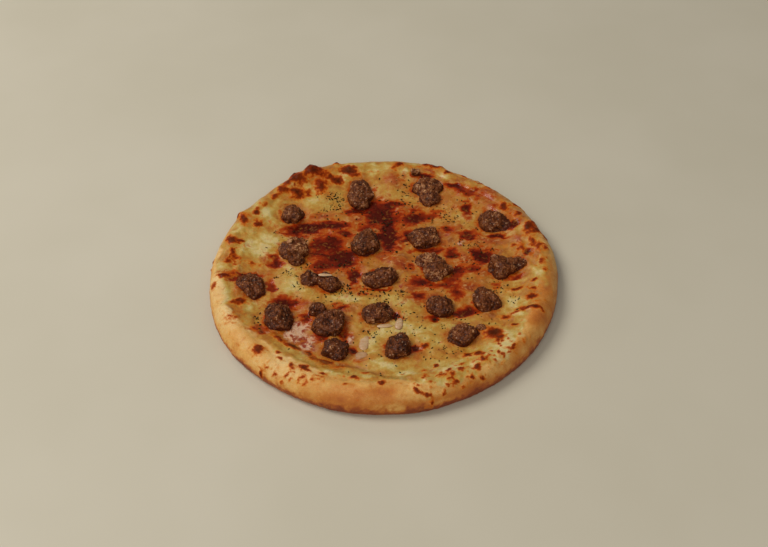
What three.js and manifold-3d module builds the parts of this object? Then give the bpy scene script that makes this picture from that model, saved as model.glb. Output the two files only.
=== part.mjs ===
// A whole ten-inch sausage pizza: one baked dough base with a puffed, uneven rim,
// one layer of melted cheese in it, twenty craggy lumps of sausage and a few pale slivers.
// Millimetres, +Z up, origin at the centre of the flat underside, +Y to the back.
import * as THREE from "three";
import { mergeVertices } from "three/addons/utils/BufferGeometryUtils.js";
import Module from "manifold-3d";

const wasm = await Module();
wasm.setup();

// ---- Driving dimensions ----
const pizzaRadius = 125.4; // widest line of the rim's side
const rimHeight = 17.2; // crest of the rim
const bulgeHeight = 6; // level of the widest line
const footInset = 3.4; // the side tucks in this far at the underside
const crestInset = 10.5; // crest, measured in from the widest line
const wellInset = 33; // foot of the rim's inner slope
const wellFloor = 7.5; // dough under the cheese
const gap = 0.3; // between two pieces that touch
const centreShift = [-0.83, -0.51]; // puts the middle of the uneven rim's box over the origin

const cheeseLevel = 11.4; // melted surface, away from the rim
const cheeseRadius = 108; // mean reach, up the rim's inner slope
const cheeseSkin = 1.1; // thickness where it thins out on that slope
const cheeseBlend = 0.6; // least softness where the cheese meets the rim's slope
const cheeseFillet = 4.6; // added softness, so that the cheese rises gently to the rim
const filletGrows = [68, 96]; // radii over which that sets in
const filletFades = [104, 112]; // and over which it ends, up the slope
const cheeseRings = 18; // ring k of the disc has 6k points
const dimpleDepth = 1.3; // the cheese sinks under each lump
const dimpleReach = 1.25; // the dimple's radius over the lump's

const lumpDetail = 2; // each edge of the icosahedron in three
const lumpSink = 0.5; // a lump's middle, above the cheese before its fillet
const lobeRise = 0.82; // a lobe's height over its lump's
const lathePanels = 100;
const swellGrows = [60, 85]; // radii over which a swell of the rim sets in

// Where the rim swells or draws in: bearing and half-width in degrees, then outwards and upwards.
const rimSwells = [
  { bearing: 6, spread: 12, out: 1.8, up: 0.4 },
  { bearing: 54, spread: 15, out: -1.6, up: -0.8 },
  { bearing: 88, spread: 14, out: 0.6, up: -1.2 },
  { bearing: 120, spread: 14, out: 2.6, up: 2.2 },
  { bearing: 152, spread: 9, out: 1.1, up: 0.5 },
  { bearing: 205, spread: 14, out: 1.0, up: 0.6 },
  { bearing: 236, spread: 15, out: -1.1, up: 0 },
  { bearing: 270, spread: 24, out: -0.4, up: 0.9 },
  { bearing: 338, spread: 20, out: 1.0, up: 0.6 },
];

// Blisters on the rim: bearing in degrees, inset from the widest line, radius and height.
const rimBlisters = [
  { bearing: 116, inset: 7, radius: 7, height: 2.2 },
  { bearing: 123, inset: 9, radius: 6, height: 1.8 },
  { bearing: 107, inset: 3, radius: 4, height: 2.6 },
  { bearing: 117, inset: 2.5, radius: 4, height: 3.2 },
  { bearing: 123.5, inset: 2.5, radius: 3.4, height: 2.8 },
  { bearing: 151, inset: 3, radius: 3.4, height: 2.6 },
  { bearing: 101, inset: 8, radius: 6, height: 1.3 },
  { bearing: 128, inset: 13, radius: 5, height: 1.4 },
  { bearing: 149, inset: 5, radius: 6, height: 1.7 },
  { bearing: 143, inset: 10, radius: 6, height: 1.2 },
  { bearing: 162, inset: 8, radius: 6, height: 1.1 },
  { bearing: 176, inset: 5, radius: 5, height: 0.9 },
  { bearing: 201, inset: 10, radius: 8, height: 1.0 },
  { bearing: 229, inset: 5, radius: 4, height: 1.1 },
  { bearing: 238, inset: 13, radius: 7, height: 1.0 },
  { bearing: 263, inset: 12, radius: 9, height: 1.2 },
  { bearing: 284, inset: 11, radius: 7, height: 1.3 },
  { bearing: 293, inset: 14, radius: 6, height: 1.1 },
  { bearing: 306, inset: 13, radius: 6, height: 1.1 },
  { bearing: 338, inset: 12, radius: 8, height: 1.4 },
  { bearing: 352, inset: 9, radius: 6, height: 1.0 },
  { bearing: 11, inset: 8, radius: 5, height: 1.0 },
  { bearing: 21, inset: 6, radius: 6, height: 1.5 },
  { bearing: 42, inset: 9, radius: 6, height: 0.9 },
  { bearing: 66, inset: 5, radius: 4, height: 1.6 },
  { bearing: 71, inset: 4, radius: 4, height: 1.6 },
  { bearing: 83, inset: 6, radius: 6, height: 1.0 },
];

// Mounds and hollows of the cheese: centre, radius, height.
const cheeseMounds = [
  { at: [-88, 36], radius: 14, height: 1.0 },
  { at: [-92, -34], radius: 9, height: 0.7 },
  { at: [-48, 78], radius: 15, height: 0.9 },
  { at: [-66, 86], radius: 7, height: 1.4 },
  { at: [-45, 93], radius: 8, height: 1.2 },
  { at: [10, 96], radius: 12, height: 1.6 },
  { at: [75, 82], radius: 14, height: 1.2 },
  { at: [64, 66], radius: 5, height: 1.1 },
  { at: [-4, 56], radius: 13, height: -1.3 },
  { at: [30, 54], radius: 9, height: -0.8 },
  { at: [-34, 10], radius: 13, height: -1.3 },
  { at: [-58, 44], radius: 11, height: -0.9 },
  { at: [-64, -8], radius: 11, height: 1.0 },
  { at: [66, 22], radius: 14, height: 0.7 },
  { at: [14, 12], radius: 10, height: 0.6 },
  { at: [10, -28], radius: 16, height: 0.9 },
  { at: [22, -58], radius: 14, height: 0.9 },
  { at: [4, -90], radius: 12, height: 0.8 },
  { at: [-56, -66], radius: 10, height: -1.4 },
  { at: [73, -64], radius: 7, height: 1.5 },
  { at: [56, -44], radius: 8, height: -0.7 },
];

// Lumps of sausage: centre, half-sizes across and along, height over the cheese, turn in degrees,
// and the lobes of those that are two crumbs baked together (offset and half-sizes).
const sausages = [
  { at: [-67.6, 61.6], half: [8.8, 9.8], rise: 8.2, turn: 0 },
  { at: [-15.2, 84.2], half: [9.9, 15.6], rise: 8.8, turn: 12 },
  { at: [37, 87.6], half: [13, 10.4], rise: 8, turn: 0, lobe: { off: [1, -11], half: [8.2, 8.6] } },
  { at: [84.8, 47.4], half: [12.2, 12.6], rise: 8.4, turn: 35 },
  { at: [-65.6, 22.8], half: [10.9, 9.8], rise: 8.2, turn: 0, lobe: { off: [2, -11], half: [5.4, 5.2] } },
  { at: [-12, 26.8], half: [10.4, 12.4], rise: 8.8, turn: -20 },
  { at: [31.6, 32], half: [11.6, 10.6], rise: 7.8, turn: 15 },
  { at: [38.8, -1.2], half: [10.2, 10.4], rise: 8.2, turn: -35, lobe: { off: [-4.2, 7.4], half: [10, 6.4] } },
  { at: [87.4, -1.4], half: [12, 10.2], rise: 8.6, turn: -12, lobe: { off: [10.4, 2.8], half: [6.8, 6.2] } },
  { at: [-94, -15], half: [10.2, 11.6], rise: 8.2, turn: 20 },
  { at: [-39, -12.8], half: [8.8, 7], rise: 7.2, turn: -15, lobe: { off: [-13.6, 5], half: [7, 7] } },
  { at: [-1.8, -8.4], half: [12, 9.4], rise: 7.6, turn: 8 },
  { at: [-73.2, -46], half: [9.6, 12.8], rise: 8.6, turn: 28 },
  { at: [-37.8, -51.5], half: [11.8, 10.4], rise: 8.4, turn: 40, lobe: { off: [-7.6, 12], half: [6.2, 6.2] } },
  { at: [-4, -44.4], half: [11.6, 7.8], rise: 7.8, turn: 12 },
  { at: [39.4, -38.8], half: [9.8, 8.7], rise: 8, turn: -10 },
  { at: [71.8, -34.6], half: [9.2, 11.4], rise: 8.2, turn: 14 },
  { at: [-33, -76.4], half: [9.5, 8.2], rise: 8.4, turn: 0 },
  { at: [8.8, -76.2], half: [9, 10.6], rise: 8.2, turn: -15 },
  { at: [53, -66.8], half: [10.8, 8], rise: 7.8, turn: 10 },
];

// Loose crumbs beside the lumps.
const sausageCrumbs = [
  { at: [27.6, 103.8], half: [3.8, 3.4], rise: 4, turn: 20 },
  { at: [66.8, -60.4], half: [4, 3.1], rise: 3.5, turn: -20 },
];

// Pale slivers: centre, length, width and thickness, turn in degrees, and the lump one lies on.
const slivers = [
  { at: [-41, -10.8], size: [10, 2.4, 1.4], turn: -5, on: 10 },
  { at: [0.4, -55.2], size: [11, 3.2, 2], turn: -3 },
  { at: [10.6, -54], size: [10.4, 5.6, 2.2], turn: 80 },
  { at: [-13.2, -69.8], size: [13.5, 6.5, 1.4], turn: 80 },
  { at: [-15.5, -81.5], size: [9, 7, 1.2], turn: 15 },
];

// Dried herb: where it fell thickest, with the spread and the number of flakes there.
const flakeSize = { length: 2.6, width: 1.5, thickness: 0.9 };
const flakeSeed = 41;
const flakeClear = 2.2; // from a lump's side
const herbClusters = [
  { at: [-42, 75], spread: 9, count: 6 },
  { at: [-70, -8], spread: 8, count: 6 },
  { at: [-28, -26], spread: 10, count: 6 },
  { at: [12, -26], spread: 8, count: 5 },
  { at: [-10, -64], spread: 6, count: 4 },
  { at: [28, -60], spread: 8, count: 5 },
  { at: [2, -94], spread: 7, count: 3 },
  { at: [38, -84], spread: 6, count: 3 },
  { at: [58, 58], spread: 9, count: 4 },
  { at: [62, 20], spread: 7, count: 3 },
  { at: [22, 76], spread: 6, count: 3 },
];

const doughColour = 0xc98f4c;
const cheeseColour = 0xb98f45;
const sausageColour = 0x5a3a28;
const sliverColour = 0xcbb08c;

// ---- Small helpers ----

// A repeatable draw between 0 and 1; each piece starts its own from its seed.
function drawFrom(seed) {
  let state = Math.imul(seed, 2654435761) >>> 0;
  const next = () => {
    state = (Math.imul(1664525, state) + 1013904223) >>> 0;
    return state / 4294967296;
  };
  next();
  return next;
}

function smoothStep(low, high, value) {
  return THREE.MathUtils.smoothstep(value, low, high);
}

function softMax(a, b, blend) {
  return (a + b + Math.hypot(a - b, blend)) / 2;
}

function bell(distance, radius) {
  return Math.exp(-((distance / radius) ** 2));
}

// The geometry with its shared points merged, as a solid for cuts and joins.
function solidOf(geometry) {
  const bare = geometry.clone();
  bare.deleteAttribute("normal");
  bare.deleteAttribute("uv");
  const merged = mergeVertices(bare, 1e-4);
  return new wasm.Manifold(
    new wasm.Mesh({
      numProp: 3,
      vertProperties: new Float32Array(merged.attributes.position.array),
      triVerts: new Uint32Array(merged.index.array),
    }),
  );
}

function geometryOf(solid) {
  const { vertProperties, triVerts } = solid.getMesh();
  const geometry = new THREE.BufferGeometry();
  geometry.setAttribute("position", new THREE.BufferAttribute(vertProperties, 3));
  geometry.setIndex(new THREE.BufferAttribute(triVerts, 1));
  geometry.computeVertexNormals();
  return geometry;
}

// Moves each point of a geometry by a function of the point.
function reshape(geometry, move) {
  const position = geometry.attributes.position;
  const point = new THREE.Vector3();
  for (let i = 0; i < position.count; i++) {
    move(point.fromBufferAttribute(position, i));
    position.setXYZ(i, point.x, point.y, point.z);
  }
  return geometry;
}

// ---- Dough ----

// How far the rim swells outwards and upwards at a bearing in degrees.
function swellAt(bearing) {
  let out = 0;
  let up = 0;
  for (const swell of rimSwells) {
    const turn = THREE.MathUtils.euclideanModulo(bearing - swell.bearing + 180, 360) - 180;
    const share = bell(turn, swell.spread);
    out += swell.out * share;
    up += swell.up * share;
  }
  return { out, up };
}

function bearingOf(x, y) {
  return THREE.MathUtils.radToDeg(Math.atan2(y, x));
}

function blisterAt(x, y) {
  let height = 0;
  for (const blister of rimBlisters) {
    const bearing = THREE.MathUtils.degToRad(blister.bearing);
    const reach = pizzaRadius + swellAt(blister.bearing).out - blister.inset;
    const distance = Math.hypot(x - reach * Math.cos(bearing), y - reach * Math.sin(bearing));
    height += blister.height * bell(distance, blister.radius);
  }
  return height;
}

// The dough's upper surface from the middle to the rim's crest.
function doughTopAt(x, y) {
  const { out, up } = swellAt(bearingOf(x, y));
  const inset = pizzaRadius + out - Math.hypot(x, y);
  const climb = 1 - smoothStep(crestInset, wellInset, inset);
  return wellFloor + (rimHeight + up - wellFloor) * climb + blisterAt(x, y) * climb;
}

// Half the dough's section, from the middle of the underside round the rim to the middle of the well.
function doughProfile() {
  const points = [new THREE.Vector2(0, 0), new THREE.Vector2(pizzaRadius * 0.6, 0)];
  const footSteps = 3;
  for (let i = 0; i <= footSteps; i++) {
    const a = (Math.PI / 2) * (i / footSteps);
    const inset = footInset * (1 - Math.sin(a));
    points.push(new THREE.Vector2(pizzaRadius - inset, bulgeHeight * (1 - Math.cos(a))));
  }
  const shoulderSteps = 5;
  for (let i = 1; i <= shoulderSteps; i++) {
    const a = (Math.PI / 2) * (i / shoulderSteps);
    const inset = crestInset * (1 - Math.cos(a));
    const height = bulgeHeight + (rimHeight - bulgeHeight) * Math.sin(a);
    points.push(new THREE.Vector2(pizzaRadius - inset, height));
  }
  const slopeSteps = 5;
  for (let i = 1; i <= slopeSteps; i++) {
    const inset = THREE.MathUtils.lerp(crestInset, wellInset, i / slopeSteps);
    const climb = 1 - smoothStep(crestInset, wellInset, inset);
    points.push(new THREE.Vector2(pizzaRadius - inset, wellFloor + (rimHeight - wellFloor) * climb));
  }
  points.push(new THREE.Vector2(pizzaRadius * 0.45, wellFloor), new THREE.Vector2(0, wellFloor));
  return points;
}

function makeDough() {
  const lathe = new THREE.LatheGeometry(doughProfile(), lathePanels);
  lathe.rotateX(Math.PI / 2);
  return reshape(lathe, (point) => {
    const radius = Math.hypot(point.x, point.y);
    const { out, up } = swellAt(bearingOf(point.x, point.y));
    const spread = radius > 0 ? 1 + (out * smoothStep(...swellGrows, radius)) / radius : 1;
    point.x *= spread;
    point.y *= spread;
    const climb = THREE.MathUtils.clamp((point.z - wellFloor) / (rimHeight - wellFloor), 0, 1);
    point.z += (up + blisterAt(point.x, point.y)) * climb;
  });
}

// ---- Cheese ----

function cheeseEdgeAt(bearing) {
  const a = THREE.MathUtils.degToRad(bearing);
  const { out } = swellAt(bearing);
  return cheeseRadius + out + 1.1 * Math.sin(5 * a + 1) + 0.8 * Math.sin(9 * a + 2.2);
}

function cheeseTopAt(x, y, fillet = cheeseFillet) {
  let level = cheeseLevel + 0.25 * Math.sin(x / 9 + 1) + 0.25 * Math.sin(y / 8 - x / 21);
  for (const mound of cheeseMounds) {
    level += mound.height * bell(Math.hypot(x - mound.at[0], y - mound.at[1]), mound.radius);
  }
  for (const { at, half } of sausages) {
    const reach = dimpleReach * (half[0] + half[1]) * 0.5;
    level -= dimpleDepth * bell(Math.hypot(x - at[0], y - at[1]), reach);
  }
  const radius = Math.hypot(x, y);
  const nearRim = smoothStep(...filletGrows, radius) * (1 - smoothStep(...filletFades, radius));
  return softMax(level, doughTopAt(x, y) + gap + cheeseSkin, cheeseBlend + fillet * nearRim);
}

// A closed disc out to the cheese's edge, from a flat underside up to the cheese's surface plus a
// lift: ring k of its upper face has 6k points, so that its triangles are all about as large.
function makeDisc(lift, undersideLevel) {
  const points = [];
  const faces = [];
  const addPoint = (ring, step, count, level) => {
    const bearing = (step / count) * 360;
    const a = THREE.MathUtils.degToRad(bearing);
    const radius = (cheeseEdgeAt(bearing) * ring) / cheeseRings;
    const x = radius * Math.cos(a);
    const y = radius * Math.sin(a);
    points.push(x, y, level ?? cheeseTopAt(x, y) + lift);
    return points.length / 3 - 1;
  };
  const addRing = (ring, level) => {
    const count = Math.max(1, 6 * ring);
    return Array.from({ length: count }, (_, step) => addPoint(ring, step, count, level));
  };
  let inner = addRing(0);
  for (let ring = 1; ring <= cheeseRings; ring++) {
    const outer = addRing(ring);
    for (let step = 0; step < outer.length; step++) {
      const wedge = Math.floor(step / ring);
      const near = inner[(step - wedge) % inner.length];
      const nearNext = inner[(step - wedge + 1) % inner.length];
      const far = outer[step];
      const farNext = outer[(step + 1) % outer.length];
      faces.push(near, far, farNext);
      if (step % ring < ring - 1) faces.push(near, farNext, nearNext);
    }
    inner = outer;
  }
  const lower = addRing(cheeseRings, undersideLevel);
  const middle = addPoint(0, 0, 1, undersideLevel);
  inner.forEach((upper, step) => {
    const next = (step + 1) % inner.length;
    faces.push(upper, lower[step], lower[next], upper, lower[next], inner[next]);
    faces.push(middle, lower[next], lower[step]);
  });
  const disc = new THREE.BufferGeometry();
  disc.setAttribute("position", new THREE.Float32BufferAttribute(points, 3));
  disc.setIndex(faces);
  return disc;
}

// One dried flake: a flattened octahedron, half sunk in the cheese.
function makeFlake(x, y, draw) {
  const size = 0.7 + 0.6 * draw();
  const flake = new THREE.OctahedronGeometry(1);
  flake.scale((flakeSize.length / 2) * size, (flakeSize.width / 2) * size, flakeSize.thickness / 2);
  flake.rotateZ(Math.PI * draw());
  flake.translate(x, y, cheeseTopAt(x, y) + 0.1);
  return flake;
}

// True where a flake would lie under or against a lump, a crumb or a sliver.
function isTaken(x, y) {
  const nearLump = [...sausages, ...sausageCrumbs].some(({ at, half, lobe }) => {
    const reach = 1.25 * Math.max(...half) + flakeClear;
    const lobeReach = lobe ? 1.25 * Math.max(...lobe.half) + flakeClear : 0;
    const lobeAt = lobe ? [at[0] + lobe.off[0], at[1] + lobe.off[1]] : at;
    return (
      Math.hypot(x - at[0], y - at[1]) < reach ||
      Math.hypot(x - lobeAt[0], y - lobeAt[1]) < lobeReach
    );
  });
  return nearLump || slivers.some(({ at, size }) => Math.hypot(x - at[0], y - at[1]) < size[0] * 0.5 + flakeClear);
}

// The layer that fills the well and thins out on the rim's inner slope, with its fused flakes.
function makeCheese(dough) {
  const insideDough = wellFloor / 2;
  let cheese = solidOf(makeDisc(0, insideDough)).subtract(dough.translate([0, 0, gap]));
  const draw = drawFrom(flakeSeed);
  for (const { at, spread, count } of herbClusters) {
    let left = count;
    for (let tries = 0; left > 0 && tries < 60; tries++) {
      const a = 2 * Math.PI * draw();
      const reach = spread * Math.sqrt(draw());
      const x = at[0] + reach * Math.cos(a);
      const y = at[1] + reach * Math.sin(a);
      if (isTaken(x, y)) continue;
      cheese = cheese.add(solidOf(makeFlake(x, y, draw)));
      left -= 1;
    }
  }
  return cheese;
}

// ---- Sausage ----

// A craggy ball: a sphere whose radius rises and falls with waves in drawn directions.
function makeLump(half, rise, detail, draw) {
  const waves = [];
  for (const [count, slowest, fastest, depth] of [
    [4, 2, 4, 0.05],
    [5, 5, 8, 0.035],
  ]) {
    for (let i = 0; i < count; i++) {
      const height = 2 * draw() - 1;
      const a = 2 * Math.PI * draw();
      const across = Math.sqrt(1 - height * height);
      waves.push({
        along: new THREE.Vector3(across * Math.cos(a), across * Math.sin(a), height),
        pitch: slowest + (fastest - slowest) * draw(),
        start: 2 * Math.PI * draw(),
        depth,
      });
    }
  }
  const ball = new THREE.IcosahedronGeometry(1, detail);
  return reshape(ball, (point) => {
    let reach = 1;
    for (const wave of waves) {
      reach += wave.depth * Math.sin(wave.pitch * wave.along.dot(point) + wave.start);
    }
    const blunt = Math.sign(point.z) * Math.abs(point.z) ** 0.8; // a flatter top
    point.set(point.x * reach * half[0], point.y * reach * half[1], blunt * reach * rise);
  });
}

// A lump and its lobe, standing on the cheese.
function makeSausage({ at, half, rise, turn, lobe }, index, detail, cutter) {
  const draw = drawFrom(100 + index);
  const level = cheeseTopAt(...at, 0) + lumpSink;
  const main = makeLump(half, rise, detail, draw);
  main.rotateZ(THREE.MathUtils.degToRad(turn));
  main.translate(...at, level);
  let lump = solidOf(main);
  if (lobe) {
    const side = makeLump(lobe.half, rise * lobeRise, detail - 1, draw);
    side.translate(at[0] + lobe.off[0], at[1] + lobe.off[1], level);
    lump = lump.add(solidOf(side));
  }
  return lump.subtract(cutter);
}

// ---- Slivers ----

// A thin curved slice with blunt ends, laid on the cheese or on a lump.
function makeSliver({ at, size, turn, on }, index, cutter, lumps) {
  const [length, width, thickness] = size;
  const draw = drawFrom(300 + index);
  const bend = 0.12 + 0.1 * draw();
  const slice = reshape(new THREE.SphereGeometry(1, 10, 6), (point) => {
    const along = Math.sign(point.x) * Math.abs(point.x) ** 0.8;
    const across = point.y * (1 - 0.2 * along);
    point.set(
      (length / 2) * along,
      (width / 2) * (across + bend * (1 - along * along)),
      (thickness / 2) * point.z,
    );
  });
  slice.rotateZ(THREE.MathUtils.degToRad(turn));
  const under = on === undefined ? null : lumps[on];
  const rest = under ? under.boundingBox().max[2] - 0.6 : cheeseTopAt(...at) + 0.25;
  slice.translate(...at, rest + thickness / 2);
  const cut = solidOf(slice).subtract(cutter);
  return under ? cut.subtract(under.translate([0, 0, gap])) : cut;
}

// ---- The pizza ----

const pizza = new THREE.Group();
pizza.name = "sausage_pizza";
pizza.position.set(...centreShift, 0);

function addPiece(name, geometry, colour, roughness) {
  const material = new THREE.MeshStandardMaterial({ color: colour, roughness, metalness: 0 });
  const mesh = new THREE.Mesh(geometry, material);
  mesh.name = name;
  pizza.add(mesh);
}

const dough = solidOf(makeDough());
addPiece("crust", geometryOf(dough), doughColour, 0.65);
addPiece("cheese", geometryOf(makeCheese(dough)), cheeseColour, 0.35);

// Everything below the cheese's and the rim's surface plus the gap, cut from what lies on them.
const cutter = solidOf(makeDisc(gap, -rimHeight)).add(dough.translate([0, 0, gap]));

const lumps = sausages.map((sausage, i) => makeSausage(sausage, i, lumpDetail, cutter));
lumps.forEach((lump, i) => {
  addPiece(`sausage_${String(i + 1).padStart(2, "0")}`, geometryOf(lump), sausageColour, 0.6);
});

sausageCrumbs.forEach((crumb, i) => {
  const lump = makeSausage(crumb, 50 + i, 1, cutter);
  addPiece(`sausage_crumb_${i + 1}`, geometryOf(lump), sausageColour, 0.6);
});

slivers.forEach((sliver, i) => {
  const slice = makeSliver(sliver, i, cutter, lumps);
  addPiece(`sliver_${i + 1}`, geometryOf(slice), sliverColour, 0.4);
});

export default pizza;
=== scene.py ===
import math

import bpy
import numpy as np
from mathutils import Matrix, Vector


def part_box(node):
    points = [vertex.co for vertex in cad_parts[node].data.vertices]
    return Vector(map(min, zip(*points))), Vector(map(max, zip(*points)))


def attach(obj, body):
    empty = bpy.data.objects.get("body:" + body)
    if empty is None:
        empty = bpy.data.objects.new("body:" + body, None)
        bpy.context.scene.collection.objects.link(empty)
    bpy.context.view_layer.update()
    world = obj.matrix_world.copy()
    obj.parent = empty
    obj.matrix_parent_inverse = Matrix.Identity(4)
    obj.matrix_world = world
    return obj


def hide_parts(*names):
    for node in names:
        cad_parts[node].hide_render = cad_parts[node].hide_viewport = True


# A ten-inch sausage pizza. Places and sizes are in millimetres round the middle of the dough;
# toWorld turns them into metres in the part's frame.
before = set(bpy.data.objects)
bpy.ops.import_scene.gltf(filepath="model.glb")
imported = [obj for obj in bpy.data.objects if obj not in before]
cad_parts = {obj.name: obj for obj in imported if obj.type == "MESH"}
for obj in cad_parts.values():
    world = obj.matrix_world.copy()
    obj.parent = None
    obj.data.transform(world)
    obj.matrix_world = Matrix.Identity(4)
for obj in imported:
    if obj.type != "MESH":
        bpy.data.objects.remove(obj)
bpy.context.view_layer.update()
mm = 0.001
centreShift = np.array([-0.83, -0.51, 0.0])  # the uneven rim's box is centred over the origin

camera = {
    "lens": 50.0, "sensor": 36.0, "distance": 775.0,
    "elevation": 44.8, "roll": -1.5, "aim": (0.9, -1.0, 9.0),
}

dough = {
    "radius": 125.4, "rimHeight": 17.2, "bulgeHeight": 6.0, "footInset": 3.4,
    "crestInset": 10.5, "wellInset": 33.0, "wellFloor": 7.5,
    "panels": 900, "undersideRings": 10, "footRings": 12, "shoulderRings": 34,
    "slopeRings": 26, "floorRings": 6, "underReach": 0.97, "ringsSeenInside": 8,
    # the underside: heights where the marks set in, then radii for its scorching and its hollows
    "flatBelow": 0.6, "underFade": (0.2, 1.6), "scorchFades": (128, 116), "hollowsWithin": 119,
    "creaseWithin": 112,
    # bearing and half-width in degrees, then how far the rim swells out and up
    "swells": [
        (6, 12, 1.8, 0.4), (54, 15, -1.6, -0.8), (88, 14, 0.6, -1.2), (120, 14, 2.6, 2.2), (152, 9, 1.1, 0.5),
        (205, 14, 1.0, 0.6), (236, 15, -1.1, 0), (270, 24, -0.4, 0.9), (338, 20, 1.0, 0.6),
    ],
    "swellGrows": (60, 85),  # radii between which the swells set in
    # bearing in degrees, inset from the widest line, radius and height
    "blisters": [
        (116, 7, 7, 2.2), (123, 9, 6, 1.8), (107, 3, 4, 2.6), (117, 2.5, 4, 3.2), (123.5, 2.5, 3.4, 2.8),
        (151, 3, 3.4, 2.6), (101, 8, 6, 1.3), (128, 13, 5, 1.4),
        (149, 5, 6, 1.7), (143, 10, 6, 1.2), (162, 8, 6, 1.1), (176, 5, 5, 0.9), (201, 10, 8, 1.0),
        (229, 5, 4, 1.1), (238, 13, 7, 1.0), (263, 12, 9, 1.2), (284, 11, 7, 1.3), (293, 14, 6, 1.1),
        (306, 13, 6, 1.1), (338, 12, 8, 1.4), (352, 9, 6, 1.0), (11, 8, 5, 1.0), (21, 6, 6, 1.5),
        (42, 9, 6, 0.9), (66, 5, 4, 1.6), (71, 4, 4, 1.6), (83, 6, 6, 1.0),
    ],
    # how far out the cheese ran over the rim, by bearing in degrees
    "film": [
        (0, 119), (25, 121), (55, 121), (85, 123), (120, 126), (150, 122), (175, 120), (195, 116),
        (215, 108), (240, 107), (262, 108), (277, 111), (288, 120), (312, 119), (330, 112), (345, 113),
    ],
}

cheese = {
    "level": 11.4, "radius": 113.5, "skin": 0.45, "gap": 0.3, "rings": 170,
    "dimpleDepth": 1.3, "dimpleReach": 1.25,
    # how softly the cheese meets the rim, and the radii where that sets in and ends
    "blend": 0.6, "fillet": 4.6, "filletGrows": (68, 96), "filletFades": (104, 112),
    "edgeWaves": [(1.1, 5, 1), (0.8, 9, 2.2)],  # depth, number of waves and start
    # the thin edge: how wide it is, how far it sinks in, how thick it is and how far it reaches under
    "edgeWidth": 8.0, "edgeSink": 0.35, "edgeThickness": 0.7, "reachUnder": 0.85,
    "bubbleDepth": 0.45, "bubbleSpacing": 9, "bubblesAbove": 0.55, "besideLumps": 0.35,
    # the last number on the next line caps the ring of sauce round the lumps, which is partly juice and
    # partly painted contact shade
    "oilReach": 1.75, "oilStrength": 0.6, "mostRingJuiceAndShade": 0.34,
    # centre, radius, height
    "mounds": [
        (-88, 36, 14, 1.0), (-92, -34, 9, 0.7), (-48, 78, 15, 0.9), (-66, 86, 7, 1.4),
        (-45, 93, 8, 1.2), (10, 96, 12, 1.6), (75, 82, 14, 1.2), (64, 66, 5, 1.1),
        (-4, 56, 13, -1.3), (30, 54, 9, -0.8), (-34, 10, 13, -1.3), (-58, 44, 11, -0.9),
        (-64, -8, 11, 1.0), (66, 22, 14, 0.7), (14, 12, 10, 0.6), (10, -28, 16, 0.9),
        (22, -58, 14, 0.9), (4, -90, 12, 0.8), (-56, -66, 10, -1.4), (73, -64, 7, 1.5),
        (56, -44, 8, -0.7),
    ],
}

# centre, half-sizes, rise, turn; then a lobe's offset and half-sizes where there is one
sausages = [
    ((-67.6, 61.6), (8.8, 9.8), 8.2, 0, None),
    ((-15.2, 84.2), (9.9, 15.6), 8.8, 12, None),
    ((37, 87.6), (13, 10.4), 8, 0, ((1, -11), (8.2, 8.6))),
    ((84.8, 47.4), (12.2, 12.6), 8.4, 35, None),
    ((-65.6, 22.8), (10.9, 9.8), 8.2, 0, ((2, -11), (5.4, 5.2))),
    ((-12, 26.8), (10.4, 12.4), 8.8, -20, None),
    ((31.6, 32), (11.6, 10.6), 7.8, 15, None),
    ((38.8, -1.2), (10.2, 10.4), 8.2, -35, ((-4.2, 7.4), (10, 6.4))),
    ((87.4, -1.4), (12, 10.2), 8.6, -12, ((10.4, 2.8), (6.8, 6.2))),
    ((-94, -15), (10.2, 11.6), 8.2, 20, None),
    ((-39, -12.8), (8.8, 7), 7.2, -15, ((-13.6, 5), (7, 7))),
    ((-1.8, -8.4), (12, 9.4), 7.6, 8, None),
    ((-73.2, -46), (9.6, 12.8), 8.6, 28, None),
    ((-37.8, -51.5), (11.8, 10.4), 8.4, 40, ((-7.6, 12), (6.2, 6.2))),
    ((-4, -44.4), (11.6, 7.8), 7.8, 12, None),
    ((39.4, -38.8), (9.8, 8.7), 8, -10, None),
    ((71.8, -34.6), (9.2, 11.4), 8.2, 14, None),
    ((-33, -76.4), (9.5, 8.2), 8.4, 0, None),
    ((8.8, -76.2), (9, 10.6), 8.2, -15, None),
    ((53, -66.8), (10.8, 8), 7.8, 10, None),
]
crumbs = [
    ((27.6, 103.8), (3.8, 3.4), 4, 20, None),
    ((66.8, -60.4), (4, 3.1), 3.5, -20, None),
]


def smoothStep(low, high, value):
    t = np.clip((value - low) / (high - low), 0, 1)
    return t * t * (3 - 2 * t)


def bell(distance, radius):
    return np.exp(-((distance / radius) ** 2))


def softMax(a, b, blend):
    return (a + b + np.hypot(a - b, blend)) / 2


def toWorld(points):
    return (np.asarray(points, float) + centreShift) * mm


# Noise: a hashed lattice, so that every run gives the same surface.
def hashCells(cells, seed):
    h = (cells[..., 0] * 73856093) ^ (cells[..., 1] * 19349663) ^ (cells[..., 2] * 83492791)
    h = (h ^ (seed * 2654435761)) & 0xFFFFFFFF
    h = ((h ^ (h >> 15)) * 1274126177) & 0xFFFFFFFF
    h = ((h ^ (h >> 13)) * 668265263) & 0xFFFFFFFF
    h = h ^ (h >> 16)
    return (h & 0xFFFFFF) / 0xFFFFFF


def smoothNoise(points, size, seed):
    p = points / size
    base = np.floor(p).astype(np.int64)
    f = p - base
    f = f * f * f * (f * (f * 6 - 15) + 10)
    total = np.zeros(len(points))
    for corner in np.ndindex(2, 2, 2):
        weight = np.prod(np.where(np.array(corner) == 1, f, 1 - f), axis=1)
        total += weight * hashCells(base + np.array(corner), seed)
    return 2 * total - 1


def layeredNoise(points, size, layers, seed):
    total = np.zeros(len(points))
    share = 1.0
    for layer in range(layers):
        total += share * smoothNoise(points, size / 2**layer, seed + layer)
        share *= 0.5
    return total


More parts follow.
